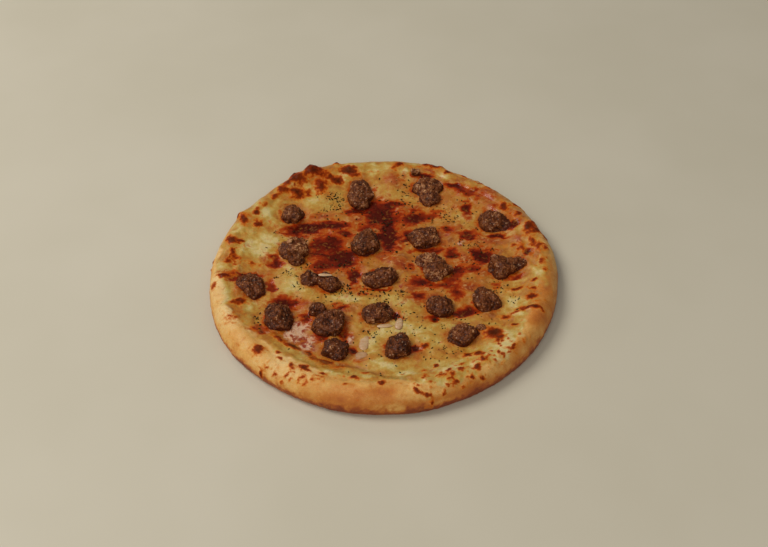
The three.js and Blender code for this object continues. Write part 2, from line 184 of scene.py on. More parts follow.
# Distance to the nearest grain centre and to the next one, in cells, and the nearest grain's own draw.
def grainNoise(points, size, seed):
    p = points / size
    base = np.floor(p).astype(np.int64)
    nearest = np.full(len(points), 9.0)
    second = np.full(len(points), 9.0)
    draw = np.zeros(len(points))
    for corner in np.ndindex(3, 3, 3):
        cell = base + np.array(corner) - 1
        centre = np.stack([hashCells(cell, seed + axis) for axis in range(3)], axis=1)
        distance = np.linalg.norm(p - cell - 0.15 - 0.7 * centre, axis=1)
        closer = distance < nearest
        second = np.where(closer, nearest, np.minimum(second, distance))
        draw = np.where(closer, hashCells(cell, seed + 7), draw)
        nearest = np.where(closer, distance, nearest)
    return nearest, second, draw


# A piece from a mesh, with named numbers on its points.
def addPiece(name, mesh, fields, material):
    for key, values in fields.items():
        attribute = mesh.attributes.new(key, "FLOAT", "POINT")
        attribute.data.foreach_set("value", np.asarray(values, np.float32))
    mesh.shade_smooth()
    mesh.materials.clear()
    mesh.materials.append(material)
    mesh.update()
    piece = bpy.data.objects.new(name, mesh)
    bpy.context.scene.collection.objects.link(piece)
    return piece


# The same from points in millimetres.
def makePiece(name, points, faces, fields, material):
    mesh = bpy.data.meshes.new(name)
    mesh.from_pydata(toWorld(points).tolist(), [], faces)
    return addPiece(name, mesh, fields, material)


# The mesh that an object's modifiers make; the object itself is no longer needed.
def meshFrom(made):
    graph = bpy.context.evaluated_depsgraph_get()
    mesh = bpy.data.meshes.new_from_object(made.evaluated_get(graph))
    bpy.data.objects.remove(made)
    return mesh


def bearingOf(x, y):
    return np.degrees(np.arctan2(y, x))


def swellAt(bearing):
    out = np.zeros_like(bearing, dtype=float)
    up = np.zeros_like(bearing, dtype=float)
    for middle, spread, outwards, upwards in dough["swells"]:
        share = bell(np.mod(bearing - middle + 180, 360) - 180, spread)
        out += outwards * share
        up += upwards * share
    return out, up


def blisterAt(x, y):
    height = np.zeros_like(x, dtype=float)
    for bearing, inset, radius, rise in dough["blisters"]:
        a = math.radians(bearing)
        reach = dough["radius"] + float(swellAt(np.array(float(bearing)))[0]) - inset
        height += rise * bell(np.hypot(x - reach * math.cos(a), y - reach * math.sin(a)), radius)
    return height


def doughTopAt(x, y):
    out, up = swellAt(bearingOf(x, y))
    inset = dough["radius"] + out - np.hypot(x, y)
    climb = 1 - smoothStep(dough["crestInset"], dough["wellInset"], inset)
    rise = dough["rimHeight"] + up + blisterAt(x, y) - dough["wellFloor"]
    return dough["wellFloor"] + rise * climb


def cheeseEdgeAt(bearing):
    a = np.radians(bearing)
    reach = cheese["radius"] + swellAt(bearing)[0]
    for depth, waves, start in cheese["edgeWaves"]:
        reach = reach + depth * np.sin(waves * a + start)
    return reach


def cheeseTopAt(x, y, skin=cheese["skin"], fillet=cheese["fillet"]):
    level = cheese["level"] + 0.25 * np.sin(x / 9 + 1) + 0.25 * np.sin(y / 8 - x / 21)
    for mx, my, radius, height in cheese["mounds"]:
        level = level + height * bell(np.hypot(x - mx, y - my), radius)
    for (sx, sy), half, _, _, _ in sausages:
        reach = cheese["dimpleReach"] * sum(half) / 2
        level = level - cheese["dimpleDepth"] * bell(np.hypot(x - sx, y - sy), reach)
    radius = np.hypot(x, y)
    nearRim = smoothStep(*cheese["filletGrows"], radius) * (1 - smoothStep(*cheese["filletFades"], radius))
    return softMax(level, doughTopAt(x, y) + cheese["gap"] + skin, cheese["blend"] + fillet * nearRim)


# What the oven and the toppings left on the surface, and a few painted highlights. Each mark is x, y,
# half-width, half-length, then turn in degrees and strength. Its place is where it shows on the level plane
# markLevel;
# settle carries it along the camera's line of sight to the surface.
markLevel = 12.0
marks = {
    "toast": [
        (-54, 116, 9, 4.5, 10, 1.2), (-68, 107, 5, 4), (-62, 105, 5, 5, 0, 0.8), (-47, 95, 5, 9, 0, 0.95),
        (-66, 88, 7, 5.5), (-35, 101, 6, 4), (-40, 108, 5, 3), (-78, 94, 3.5, 3), (-74, 101, 3, 3),
        (-25, 114, 7, 4.6, 0, 1.15), (-36, 124, 2.4, 2, 0, 1.2), (16, 121, 3.4, 3),
        (11, 115, 3, 4, 0, 0.8), (45, 115, 6, 3, 0, 1.1), (53, 108, 4, 3), (36, 119, 3, 2, 0, 1.1),
        (95, 66, 4, 5), (112, 43, 8, 4, 60), (116, 37, 4, 4, 0, 1.15), (122, 29, 3, 5, 0, 0.9),
        (104, 57, 5, 3.4, 50), (-105, 58, 3.2, 6.5, 0, 1.05), (-97, 66, 4, 2), (-93, 54, 5, 4.5, 0, 0.8),
        (-113, 36, 5, 4), (-106, 35, 3, 1.5), (-110, 22, 2.5, 4), (-114, 14, 3, 3, 0, 0.8),
        (-108, 17, 5, 2.6, 0, 0.75), (-115, -2, 3.5, 3), (-122, -13, 3, 3, 0, 0.8),
        (-109, 1, 3, 3, 0, 0.8), (-95, 9, 4, 3.4, 0, 0.75), (-101, -28, 4, 2.6),
        (-106, -29, 4, 2.2, 20, 0.8), (-107, -43, 7, 5, 0, 0.5), (-85, -73, 5, 4.4),
        (-88, -54, 4, 3, 0, 0.7), (-82, -95, 2.2, 3.3, -20, 1.2), (-72, -78, 2.2, 1.8, 0, 0.8),
        (-71, -83, 2.2, 1.6, 0, 0.75), (-63, -88, 1.6, 3, 0, 0.8), (-79, -90, 2.2, 2, 0, 0.65),
        (-73.5, -95, 2.4, 2, 0, 0.65), (-55, -89, 4, 2.6, -25), (-52, -93, 4, 1.8, -20, 0.7),
        (-42, -95, 3, 2.5, 0, 0.85), (-37, -88, 6, 1.8, 0, 0.9), (-62, -102, 2, 1.6, 0, 0.7),
        (-55, -99, 2.4, 1.8, 0, 0.7), (-53, -104, 2, 1.6, 0, 0.65), (-21, -101, 3, 2.6, -15, 1.1),
        (-27, -105.5, 2, 1.5, 0, 0.7), (-2.5, -106, 3, 2.4, 0, 1.1), (26, -96, 3.5, 2.4, 0, 0.8),
        (27, -101, 3.5, 3.6, 0, 0.65), (30, -107, 3.4, 1.3, 0, 0.6), (38, -101, 3.5, 1.8, 15, 0.8),
        (46, -106, 2.6, 2.4, 0, 0.8), (38, -115, 1.8, 2.6, 0, 0.8), (29, -124, 2, 2.6),
        (35, -92, 2.2, 1.8), (27, -75, 3.4, 2.6), (21, -112, 1.4, 4, 35, 0.9),
        (26, -116, 4.5, 1.4, -8, 0.9), (74, -64, 7.2, 5.4, 8, 1.25), (78, -69, 3, 3.4, -20, 1.1),
        (55, -84, 4, 3), (64, -82, 3.8, 3.3), (66, -87, 1.7, 2.4), (62, -95, 1.8, 2.8),
        (59, -91, 2, 1.6, 0, 0.7), (76, -81, 1.4, 2, 30), (57, -103, 1.5, 2.2, 35),
        (87, -76, 2.4, 1.5, 30, 0.9), (84, -78, 4, 1.2, 5, 0.6), (94, -23, 6, 2.4, 20), (105, -31, 4.6, 3),
        (106, -24, 3, 2.2, 0, 0.9), (108, -15, 3, 1.8), (104, -41, 8.5, 2.2, -22, 1.1),
        (93, -44, 5, 1.6, 24, 0.8), (85, -50, 5, 2.6, -5, 0.8), (91.5, -57, 2.6, 1.5, 0, 0.95),
        (116, 22, 5, 2.6, 70, 0.75), (117, 6, 3.6, 5, 0, 0.65), (118, -3, 2.4, 3, 0, 0.6),
        (103, 18, 3, 4.6, 0, 0.7), (97, 22, 5, 2, 0, 0.6), (80, -22, 4, 1.6, 20, 0.7),
        (110, 11, 2.4, 3, 0, 0.5), (63, -106, 2.4, 1.8, 20, 0.8), (50, -112, 2.4, 1.6, 20, 0.8),
        (44, -99, 2, 1.4, 0, 0.7), (12, -99, 2, 1, 0, 0.6), (-13, -97, 3, 1.1, 0, 0.6),
        (-30, -92, 5, 1.2, 5, 0.7), (-66, -97, 2.2, 1.8, 0, 0.7), (-48, -100, 2.2, 1.6, 0, 0.65),
        (-83, 86, 5, 2.6, 40, 0.8), (-90, 76, 4, 3, 40, 0.55), (-96, 70, 2.4, 2.2, 40, 0.6),
        (-57, 88, 2.6, 3.6, 0, 0.7), (-19, 108, 4, 2, 20, 0.7), (-77, 92, 3, 2.2, 40, 0.7),
        (112, 28, 3, 6, 0, 0.8), (120, 20, 2.4, 5, 0, 0.7), (66, 103, 4, 2.4, -35, 0.9),
        (78, 95, 3, 2, -40, 0.8), (84, 88, 3.5, 2, -40, 0.7), (103, 67, 3, 2.4, -50, 0.8),
        (-70, 112, 4, 3, 0, 1.2), (-58, 120, 5, 2.4, 0, 1.2), (-110, 64, 3, 3, 0, 1.2),
        (43, 119.5, 3, 1.6), (35, 120.5, 2.6, 1.6), (-72, -64, 5, 2.2, -40, 1.1),
        (-62, -71.4, 5.6, 3, -40, 1.25), (-52, -79, 5, 1.8, -38), (-42, -86, 8, 1.6, -15, 0.9),
        (-124, 13, 1, 2, 0, 1.1), (-125, 4, 1, 2, 0, 1.1),
    ],
    "sauce": [
        (-54, 46.5, 19, 5.2, 2, 1.15), (-36, 50.5, 13, 4.6, 2, 1.1), (-63, 43, 8, 4.4, 0, 0.9),
        (-1, 60, 11, 12, 0, 1.25), (-18, 66, 7, 6, 0, 1.1), (-9, 73, 10, 5, 0, 1.1),
        (-12, 45, 8, 3.6, 0, 0.6), (5, 36, 6, 19, 4, 1.3), (27, 55, 15, 7, 4, 0.95),
        (-48, 28, 5, 9, 0, 0.8), (-44, -62, 5, 5, 0, 0.7), (-28, -64, 4, 4, 0, 0.6),
        (14, 72, 6, 2.6, 0, 0.7), (-33, 14, 14, 12, 15, 0.95), (-27.5, 14, 8, 7, 0, 1.2),
        (-38, 30, 9, 8, 0, 0.9), (-45, 5, 7, 6, 0, 0.8), (-21, -6.8, 4, 10), (-70, -32.8, 9.5, 6, -5, 1.2),
        (-78, 10.4, 5, 6, 0, 0.95), (-97, -2.5, 11, 4, 0, 0.95), (-80, -14, 4, 5, 0, 0.7),
        (-107, -5, 6, 4, 0, 0.75), (73.8, 11.5, 8, 7.5, 0, 1.25), (52.9, -4.4, 5, 8, 0, 0.9),
        (66, 35.6, 7, 5.5, 0, 0.85), (47.7, 41.8, 6.5, 3, 5, 0.9), (26.6, -27.5, 5.6, 5, 0, 0.85),
        (34.7, -49.5, 8, 3.4, 5, 0.85), (57.9, -44.6, 8.6, 4.8, 6, 0.95), (-28.5, -35.3, 7, 3, 0, 0.5),
        (65.7, 66.8, 4.4, 5.6, 0, 0.9), (7, 73, 5, 3, 0, 0.9), (-87.8, -55.4, 4.5, 4, 0, 0.8),
        (-20.7, -76.4, 3, 3.4, 0, 0.8), (19.8, -77, 3.4, 4.4, 0, 0.9), (66, 86, 17, 4, -22, 0.55),
        (28.6, -14.7, 6, 4.6, 10, 0.75), (43, -16, 10, 5, 8, 0.75), (52, -26, 6, 7, 0, 0.7),
        (105.8, 15.6, 4.6, 4.6, 0, 0.9), (8.8, -47, 2.8, 2.6, 0, 1.3), (65, -2, 7, 5, 0, 0.65),
        (86, 33, 7, 3, -10, 0.85), (-54, -46, 4.5, 6, 0, 0.8), (58, 93, 8, 2.6, -12), (35, 106, 5, 3),
        (-25, -66, 2.4, 4, 0, 0.6), (18, 35, 4, 8, 0, 0.8), (33, 18, 12, 3.2, 0, 0.7),
        (50, 15, 5, 6, 0, 0.85), (-27, 40, 6, 3, -20, 0.8), (95, -12, 7, 2.6, 20, 0.7),
        (25, -12, 6, 5, 20, 0.6), (-5, -21, 12, 1.6, 0, 0.7), (20, 2, 4, 5, 0, 0.6),
        (100, 47, 5, 3.4, 30, 0.9), (80, -20, 4, 3, 0, 0.6),
    ],
    "orange": [
        (10, 36, 62, 36, 0, 0.5), (50, 0, 40, 26, 0, 0.3), (70, 60, 34, 26, -30, 0.3),
        (-15, 57, 5.4, 6, 0, 1.2), (26, 65, 6, 4.6), (-35, 23, 4, 4), (3, 13, 7, 5), (-28, -37, 9, 4),
        (80, 82, 15, 9, -35, 0.9), (10, 98, 9, 8, 0, 0.8), (60, 8, 13, 8), (80, 28, 14, 5, 0, 0.8),
        (24, -16, 14, 7, 15), (20, -30, 10, 5), (-45, 57, 10, 4), (-40, 30, 8, 6), (-48, 16, 6, 8),
        (15, 62, 8, 6), (38, 72, 7, 4), (50, 40, 10, 5), (60, -20, 12, 6, 15), (30, -30, 12, 5),
        (-25, 3, 6, 6), (7, 25, 8, 6), (12, 3, 8, 6), (-60, 38, 12, 5), (-88, 12, 6, 4, 0, 0.8),
        (-98, 2, 10, 4), (-70, -25, 10, 4), (-55, -32, 6, 4), (66, 60, 4, 8, 0, 0.7),
        (100, 60, 6, 6, 0, 0.8), (104, 30, 5, 8, 0, 0.8), (112, 12, 4, 8, 0, 0.7),
        (55, -54, 10, 3, 0, 0.7), (20, -84, 4, 4, 0, 0.7), (46, 78, 6, 6, 0, 0.6), (57, 68, 4, 6, 0, 0.6),
        (-8, 46, 8, 4), (40, 112, 6, 3), (-74, 50, 5, 4, 0, 0.8), (75, -6, 8, 6, 0, 0.8),
        (88, 68, 6, 4, 0, 0.7), (-14, -84, 8, 2, 0, 0.8), (-30, -90, 12, 2, 0, 0.9),
        (15, -50, 4, 3, 0, 0.6), (-8, -58, 8, 2, 0, 0.7), (44, 26, 6, 4, 0, 0.7), (60, -97, 8, 5, 0, 0.4),
        (30, -99, 8, 5, 0, 0.5), (-102, -36, 8, 4, 0, 0.45), (-100, 60, 8, 6, 0, 0.6),
        (-45, 103, 14, 8, 15, 0.6), (112, -30, 5, 9, 0, 0.45),
    ],
    "pale": [
        (42, -107, 26, 9, 15, 0.8), (80, -82, 16, 12, 40, 0.8), (98, -58, 9, 15, -20, 0.6),
        (-118, -8, 7, 30, 0, 0.8), (-108, -52, 8, 16, 25, 0.5), (-62, -100, 26, 10, -28, 0.6),
        (20, -58, 34, 12, 0, 0.4), (60, -90, 22, 14, 20, 0.5), (-86, 30, 16, 30, 0, 0.4),
        (-78, -6, 20, 16, 0, 0.4), (-88, 38, 9, 14, 0, 1.15), (-92, 26, 7, 11, 0, 1.25), (-90, 70, 7, 10),
        (-84, 54, 5, 8), (-108, 48, 4, 3), (-50, 74, 12, 8, 0, 0.8), (-65, -11, 10, 9),
        (-56, -22, 8, 5, 0, 0.7), (-92, -35, 4, 9, 10, 1.1), (-115, -20, 8, 8, 0, 0.9),
        (-118, 5, 3, 5, 0, 0.8), (-5, 114, 12, 5), (18, 112, 5, 4), (50, 103, 5, 3.4),
        (66, 52, 8, 6, 0, 0.6), (110, 30, 3, 6, 0, 0.7), (108, -7, 4, 4), (97, -15, 6, 3, 20, 0.9),
        (88, -37, 5, 5), (22, -56, 16, 7, 0, 0.8), (0, -90, 10, 6, -15, 1.1), (10, -97, 8, 3.4),
        (40, -95, 6, 3), (50, -90, 6, 4, 0, 0.6), (-80, -85, 5, 4, 0, 0.8), (-65, -93, 11, 7, -30, 0.8),
        (8, -31, 14, 4, 0, 0.7), (-12, -31, 10, 4, 0, 0.8), (-30, -27, 12, 4, 0, 0.6),
        (25, -112, 5, 5, 0, 1.1), (30, -72, 10, 6, 0, 0.5), (-8, -68, 8, 8, 0, 0.6), (84, -69, 4, 7),
        (92, -48, 6, 3), (64, -90, 14, 8, 20, 0.6), (48, -108, 12, 4, 15, 0.7), (96, -62, 4, 5, 0, 0.7),
        (76, -94, 8, 4, 30, 0.5), (8, -108, 10, 4, 0, 0.9), (-10, -100, 8, 2.4, 0, 0.9),
        (-40, -98, 14, 3, 0, 0.5), (-56, 99, 4, 6, 0, 0.9), (-70, 96, 5, 4, 0, 0.9),
        (-26, 106, 6, 3, 0, 0.6), (44, -78, 3, 3, 0, 0.5), (56, 52, 6, 10, 0, 0.5), (95, 34, 8, 5, 0, 0.5),
        (-72, 40, 3, 6, 0, 0.7), (-75, -2, 4, 4, 0, 0.8), (-48, -28, 6, 3, 0, 0.6),
        (52, 24, 6, 4, 0, 0.45), (-10, 97, 8, 5, 0, 0.7), (14, 80, 12, 4, 0, 0.5),
    ],
    "pink": [
        (-55, -66, 9, 9), (-66, -60, 5, 4, 0, 0.8), (-50, -73, 6, 8), (-57, -54, 6, 4, 0, 0.8),
        # the mark at (10, 101) paints a pinkish highlight on the cheese
        (-47, -64, 5, 4), (10, 101, 6, 6, 0, 0.8), (88, 27, 8, 5, 0, 0.6), (44, 36, 3, 5, 0, 0.8),
        (58, 27, 4, 4, 0, 0.6), (22, -18, 8, 3, 0, 0.6), (-25, 2, 5, 3, 0, 0.5), (-18, -84, 6, 6, 0, 0.7),
        (-20, -40, 6, 3, 0, 0.4), (-33, 35, 4, 4, 0, 0.4), (-20, 82, 3, 10, 0, 0.4),
        (70, 20, 8, 3, 0, 0.5),
    ],
    "pulp": [
        (-64, -62, 4.5, 4, 0, 1.1), (-52, -73, 5, 8), (-57, -54, 6, 5), (-48, -64, 5, 4), (-58, -66, 7, 7),
        # the mark at (3, 74) is a small pale bit, partly a painted highlight
        (58.5, 27, 1.8, 1.8, 0, 1.3), (3, 74, 1.6, 1.6, 0, 1.3), (12, -17, 2.4, 1.8, 0, 1.2),
        (-24, -66, 3, 5, 0, 0.7), (-83, -56, 4, 4, 0, 0.8),
    ],
    "freckle": [
        (-60, 104, 30, 13, 25), (-100, 62, 10, 18, 25, 0.9), (-110, 20, 9, 32), (-118, -12, 6, 14, 0, 0.6),
        (-20, 116, 26, 8, 0, 0.8), (30, 117, 34, 8, 0, 0.8), (76, 94, 26, 10, -40), (104, 60, 12, 24, -35),
        (114, 20, 9, 34, 0, 0.9), (104, -30, 16, 20, 0, 0.9), (82, -74, 22, 14, 40, 1.3),
        (48, -100, 34, 14, 18, 1.25), (26, -104, 14, 14, 0, 1.1), (-8, -100, 26, 5, 0, 0.6),
        (-48, -96, 26, 9, -18, 0.85), (-78, -82, 14, 14, 0, 0.7), (-52, 84, 16, 12, 0, 0.5),
        (62, 34, 40, 30, 0, 0.22), (60, -20, 40, 25, 0, 0.2), (-66, -98, 16, 7, -35, 0.8),
    ],
    "brown": [
        (-15, -114, 22, 6, 0, 0.8), (-2, -118, 10, 5, 0, 0.7), (-100, -70, 8, 6, -45, 0.3),
        (106, -50, 7, 14, -20, 0.9), (116, -20, 5, 14, 0, 0.7), (0, -124, 24, 3.4, 2),
        (-30, -119, 14, 3.4, -12, 0.9), (40, -118, 14, 3, 18, 0.8), (-104, -58, 6, 5, 0, 0.5),
        (30, -121, 8, 3, 10, 0.6), (-28, -107, 8, 4, 0, 0.5), (94, -72, 5, 8, -30, 0.6),
        (122, 8, 4, 12, 0, 0.4),
    ],
}


def sightAxes():
    e = math.radians(camera["elevation"])
    r = math.radians(camera["roll"])
    forward = np.array([0, math.cos(e), -math.sin(e)])
    level = np.array([1.0, 0, 0])
    upright = np.cross(level, forward)
    right = math.cos(r) * level + math.sin(r) * upright
    up = -math.sin(r) * level + math.cos(r) * upright
    place = np.array(camera["aim"]) - camera["distance"] * forward
    return place, right, up, forward


def makeCamera():
    place, right, up, forward = sightAxes()
    data = bpy.data.cameras.new("camera")
    data.lens = camera["lens"]
    data.sensor_width = camera["sensor"]
    data.clip_start = 0.01
    made = bpy.data.objects.new("camera", data)
    turn = Matrix((Vector(right), Vector(up), Vector(-forward))).transposed()
    made.matrix_world = Matrix.Translation(Vector(toWorld(place))) @ turn.to_4x4()
    bpy.context.scene.collection.objects.link(made)
    bpy.context.scene.camera = made


# Where points show on the mark level, seen from the camera.
def asSeen(points):
    place = sightAxes()[0]
    share = (place[2] - markLevel) / (place[2] - points[:, 2])
    return place[:2] + (points[:, :2] - place[:2]) * share[:, None]


# Rings of points round the dough: along the underside, round the side and the crest, down to the well.
def doughGrid():
    radius = dough["radius"]
    under = dough["undersideRings"]
    profile = [(radius * k / under * dough["underReach"], 0.0) for k in range(1, under)]
    for k in range(dough["footRings"] + 1):
        a = math.pi / 2 * k / dough["footRings"]
        inset = dough["footInset"] * (1 - math.sin(a))
        profile.append((radius - inset, dough["bulgeHeight"] * (1 - math.cos(a))))
    for k in range(1, dough["shoulderRings"] + 1):
        a = math.pi / 2 * k / dough["shoulderRings"]
        inset = dough["crestInset"] * (1 - math.cos(a))
        rise = (dough["rimHeight"] - dough["bulgeHeight"]) * math.sin(a)
        profile.append((radius - inset, dough["bulgeHeight"] + rise))
    crest = len(profile) - 1
    for k in range(1, dough["slopeRings"] + 1):
        inset = dough["crestInset"] + (dough["wellInset"] - dough["crestInset"]) * k / dough["slopeRings"]
        climb = float(1 - smoothStep(dough["crestInset"], dough["wellInset"], inset))
        rise = (dough["rimHeight"] - dough["wellFloor"]) * climb
        profile.append((radius - inset, dough["wellFloor"] + rise))
    inner = radius - dough["wellInset"]
    for k in range(1, dough["floorRings"]):
        profile.append((inner * (1 - k / dough["floorRings"]), dough["wellFloor"]))
    profile = np.array(profile)
    # The flat radius runs on along the surface where the side turns down.
    steps = np.linalg.norm(np.diff(profile, axis=0), axis=1)
    along = np.concatenate([[0], np.cumsum(steps)])
    unrolled = profile[crest, 0] + along[crest] - along
    flatRadius = np.where(np.arange(len(profile)) < crest, unrolled, profile[:, 0])
    bearing = np.linspace(0, 360, dough["panels"], endpoint=False)
    out, up = swellAt(bearing)
    spread = smoothStep(*dough["swellGrows"], profile[:, 0])[:, None] * out[None, :]
    reach = profile[:, 0][:, None] + spread
    a = np.radians(bearing)[None, :]
    height = np.repeat(profile[:, 1][:, None], len(bearing), 1)
    points = np.stack([reach * np.cos(a), reach * np.sin(a), height], axis=2)
    climb = np.clip((points[..., 2] - dough["wellFloor"]) / (dough["rimHeight"] - dough["wellFloor"]), 0, 1)
    points[..., 2] += (up[None, :] + blisterAt(points[..., 0], points[..., 1])) * climb
    flatReach = flatRadius[:, None] + spread
    flat = np.stack([flatReach * np.cos(a), flatReach * np.sin(a)], axis=2)
    return points, flat, crest


# Outward directions of a closed ring grid.
def gridNormals(points):
    around = np.roll(points, -1, axis=1) - np.roll(points, 1, axis=1)
    across = np.gradient(points, axis=0)
    normal = np.cross(around, across)
    return normal / np.maximum(np.linalg.norm(normal, axis=2, keepdims=True), 1e-9)


def ringFaces(ringCount, panels, firstPole, lastPole):
    faces = []
    step = np.arange(panels)
    after = (step + 1) % panels
    for ring in range(ringCount - 1):
        low = ring * panels
        high = low + panels
        faces += np.stack([low + step, low + after, high + after, high + step], axis=1).tolist()
    faces += np.stack([np.full(panels, firstPole), after, step], axis=1).tolist()
    top = (ringCount - 1) * panels
    faces += np.stack([top + step, top + after, np.full(panels, lastPole)], axis=1).tolist()
    return faces


# The cheese: ring k of a disc has 6k points, so its triangles are all about as large.
def cheeseGrid():
    points = [np.zeros((1, 2))]
    faces = []
    start = 0
    for ring in range(1, cheese["rings"] + 1):
        count = 6 * ring
        bearing = np.arange(count) / count * 360
        reach = cheeseEdgeAt(bearing) * ring / cheese["rings"]
        a = np.radians(bearing)
        points.append(np.stack([reach * np.cos(a), reach * np.sin(a)], axis=1))
        inner = max(1, 6 * (ring - 1))
        nextStart = start + inner
        step = np.arange(count)
        back = step - step // ring
        near = start + back % inner
        nearNext = start + (back + 1) % inner
        far = nextStart + step
        farNext = nextStart + (step + 1) % count
        faces += np.stack([near, far, farNext], axis=1).tolist()
        keep = step % ring < ring - 1
        faces += np.stack([near, farNext, nearNext], axis=1)[keep].tolist()
        start = nextStart
    return np.concatenate(points), faces, start


# A mark's place on the surface: the point that shows nearest to it.
def settle(mark, seen, flat):
    k = np.argmin(np.hypot(seen[:, 0] - mark[0], seen[:, 1] - mark[1]))
    return (*flat[k], *mark[2:])


def paintMarks(flat, places, soft):
    field = np.zeros(len(flat))
    for x, y, halfWidth, halfLength, *rest in places:
        turn = math.radians(rest[0]) if rest else 0.0
        strength = rest[1] if len(rest) > 1 else 1.0
        near = np.flatnonzero(np.hypot(flat[:, 0] - x, flat[:, 1] - y) < 2.4 * max(halfWidth, halfLength))
        dx = flat[near, 0] - x
        dy = flat[near, 1] - y
        along = (dx * math.cos(turn) + dy * math.sin(turn)) / halfWidth
        across = (dy * math.cos(turn) - dx * math.sin(turn)) / halfLength
        share = strength * np.exp(-(np.hypot(along, across) ** (2 / soft)))
        field[near] = field[near] + share - field[near] * np.minimum(share, 1)
    return field


def warped(flat, size, reach, seed):
    p = np.column_stack([flat[:, 0] / warpStretch, flat[:, 1], np.full(len(flat), warpHeight)])
    dx = layeredNoise(p, size, 2, seed)
    dy = layeredNoise(p, size, 2, seed + 5)
    return flat + reach * np.column_stack([dx, dy])


warpStretch = 1.5  # the marks' edges wander more along x than along y
warpHeight = 3.7
fieldStyle = {  # warps as (size, reach), how soft the edges are, and the overall strength
    "toast": (((7.0, 1.5), (2.2, 0.9)), 1.05, 0.85),
    "sauce": (((9.0, 2.4), (3.4, 1.7)), 0.85, 1.08),
    "orange": (((12.0, 3.4), (4.0, 1.8)), 1.0, 0.9),
    "pale": (((12.0, 3.4), (3.5, 1.5)), 0.9, 1.0),
    "pink": (((8.0, 2.5), (2.5, 1.2)), 0.8, 1.0),
    "brown": (((14.0, 3.0),), 1.0, 1.0),
    "pulp": (((6.0, 2.0), (2.0, 0.9)), 0.8, 1.0),
    "freckle": (((12.0, 4.0),), 0.8, 1.0),
}
oilHalo = {"reach": 1.6, "strength": 0.85}  # orange oil round each pool of sauce


def makeFields(flat, settled):
    fields = {}
    for seed, (key, (warps, soft, strength)) in enumerate(fieldStyle.items()):
        bent = flat
        for step, (size, reach) in enumerate(warps):
            bent = bent + warped(flat, size, reach, 11 * seed + 4 * step) - flat
        fields[key] = strength * paintMarks(bent, settled[key], soft)
        if key == "sauce":
            grow = oilHalo["reach"]
            wide = [(x, y, grow * w, grow * h, *rest) for x, y, w, h, *rest in settled[key]]
            halo = oilHalo["strength"] * paintMarks(bent, wide, 1.0)
    fields["orange"] = np.maximum(fields["orange"], halo)
    addFreckles(flat, fields)
    return fields


freckle = {
    "spotSizes": ((6.5, 92), (4.0, 96)),  # each with its seed
    "spotEdge": (0.2, 1.6), "spotsUpTo": 0.75, "spotStrength": (0.22, 0.46),
    "veinSize": 8.5, "veinEdge": (0.02, 0.2), "veinsFrom": (0.55, 1.0), "veinStrength": 0.55,
    "blobEdge": (0.12, 0.5), "blobsAbove": 0.35, "blobStrength": 0.9,
}


# Small toasted spots, veins and cream blobs where the cheese is thin, as thick as the freckle field says.
def addFreckles(flat, fields):
    sheet = np.column_stack([warped(flat, 3.0, 0.8, 91), np.zeros(len(flat))])
    dense = fields["freckle"]
    least, more = freckle["spotStrength"]
    for size, seed in freckle["spotSizes"]:
        nearest, _, draw = grainNoise(sheet, size, seed)
        radius = size * (0.13 + 0.5 * draw)
        spot = 1 - smoothStep(*freckle["spotEdge"], nearest * size / radius)
        spot = spot * (draw < freckle["spotsUpTo"] * dense)
        fields["toast"] = np.maximum(fields["toast"], spot * (least + more * draw))
    bent = np.column_stack([warped(flat, 6, 2.2, 81), np.zeros(len(flat))])
    nearest, second, draw = grainNoise(bent, freckle["veinSize"], 84)
    vein = 1 - smoothStep(*freckle["veinEdge"], second - nearest)
    part = smoothStep(-0.1, 0.5, layeredNoise(sheet, 7.0, 2, 99))
    vein = freckle["veinStrength"] * vein * part * smoothStep(*freckle["veinsFrom"], dense)
    fields["toast"] = np.maximum(fields["toast"], vein)
    blob = freckle["blobStrength"] * (1 - smoothStep(*freckle["blobEdge"], nearest))
    blob = blob * (draw > freckle["blobsAbove"])
    fields["pale"] = fields["pale"] + blob * np.clip(1.2 * dense, 0, 1)


# How close a point is to a lump: 1 at its side, fading over a few millimetres.
def besideLumps(x, y, reach=1.45):
    field = np.zeros(len(x))
    for (sx, sy), half, _, _, lobe in sausages + crumbs:
        balls = [((sx, sy), half)]
        if lobe:
            balls.append(((sx + lobe[0][0], sy + lobe[0][1]), lobe[1]))
        for (bx, by), (halfWidth, halfLength) in balls:
            d = np.hypot((x - bx) / halfWidth, (y - by) / halfLength)
            field = np.maximum(field, 1 - smoothStep(0.9, reach, d))
    return field


# The melted and the baked surface's small waves as size, layers and height, and what the marks add.
surface = {
    "baked": [(15, 2, 0.42), (4.5, 3, 0.08), (1.3, 2, 0.045)],
    "melted": [(9, 2, 0.52), (3.4, 2, 0.2), (1.2, 2, 0.03)],
    "calmedBySauce": 0.8, "toast": 0.95, "toastGrain": 0.4, "mostToast": 1.2,
    "pale": 0.3, "sauce": 0.5, "pink": 0.25, "shadedCrease": 0.45, "creaseWidth": 1.5,
}
# the fold by the torn patch: a groove, which the material also darkens with painted shade
creaseLine = [
    (-74, -59), (-66, -66), (-60, -72), (-53, -79), (-46, -84), (-38, -88), (-20, -91), (-10, -96), (2, -101),
    (14, -102),
]


def wavesOf(points, rows, seed):
    total = np.zeros(len(points))
    for k, (size, layers, height) in enumerate(rows):
        total += height * layeredNoise(points, size, layers, seed + k)
    return total


# One rule for cheese and dough, so that they meet without a step.
def surfaceRelief(points, fields):
    sauce = np.clip(fields["sauce"], 0, 1)
    baked = wavesOf(points, surface["baked"], 75)
    melted = wavesOf(points, surface["melted"], 51)
    total = baked + (melted * (1 - surface["calmedBySauce"] * sauce) - baked) * fields["film"]
    toast = np.clip(fields["toast"], 0, surface["mostToast"])
    total += surface["toast"] * toast + surface["toastGrain"] * toast * layeredNoise(points, 1.9, 2, 78)
    marked = surface["pale"] * fields["pale"] - surface["sauce"] * sauce - surface["pink"] * fields["pink"]
    total += fields["film"] * marked
    return total - surface["shadedCrease"] * fields["shadedCrease"]


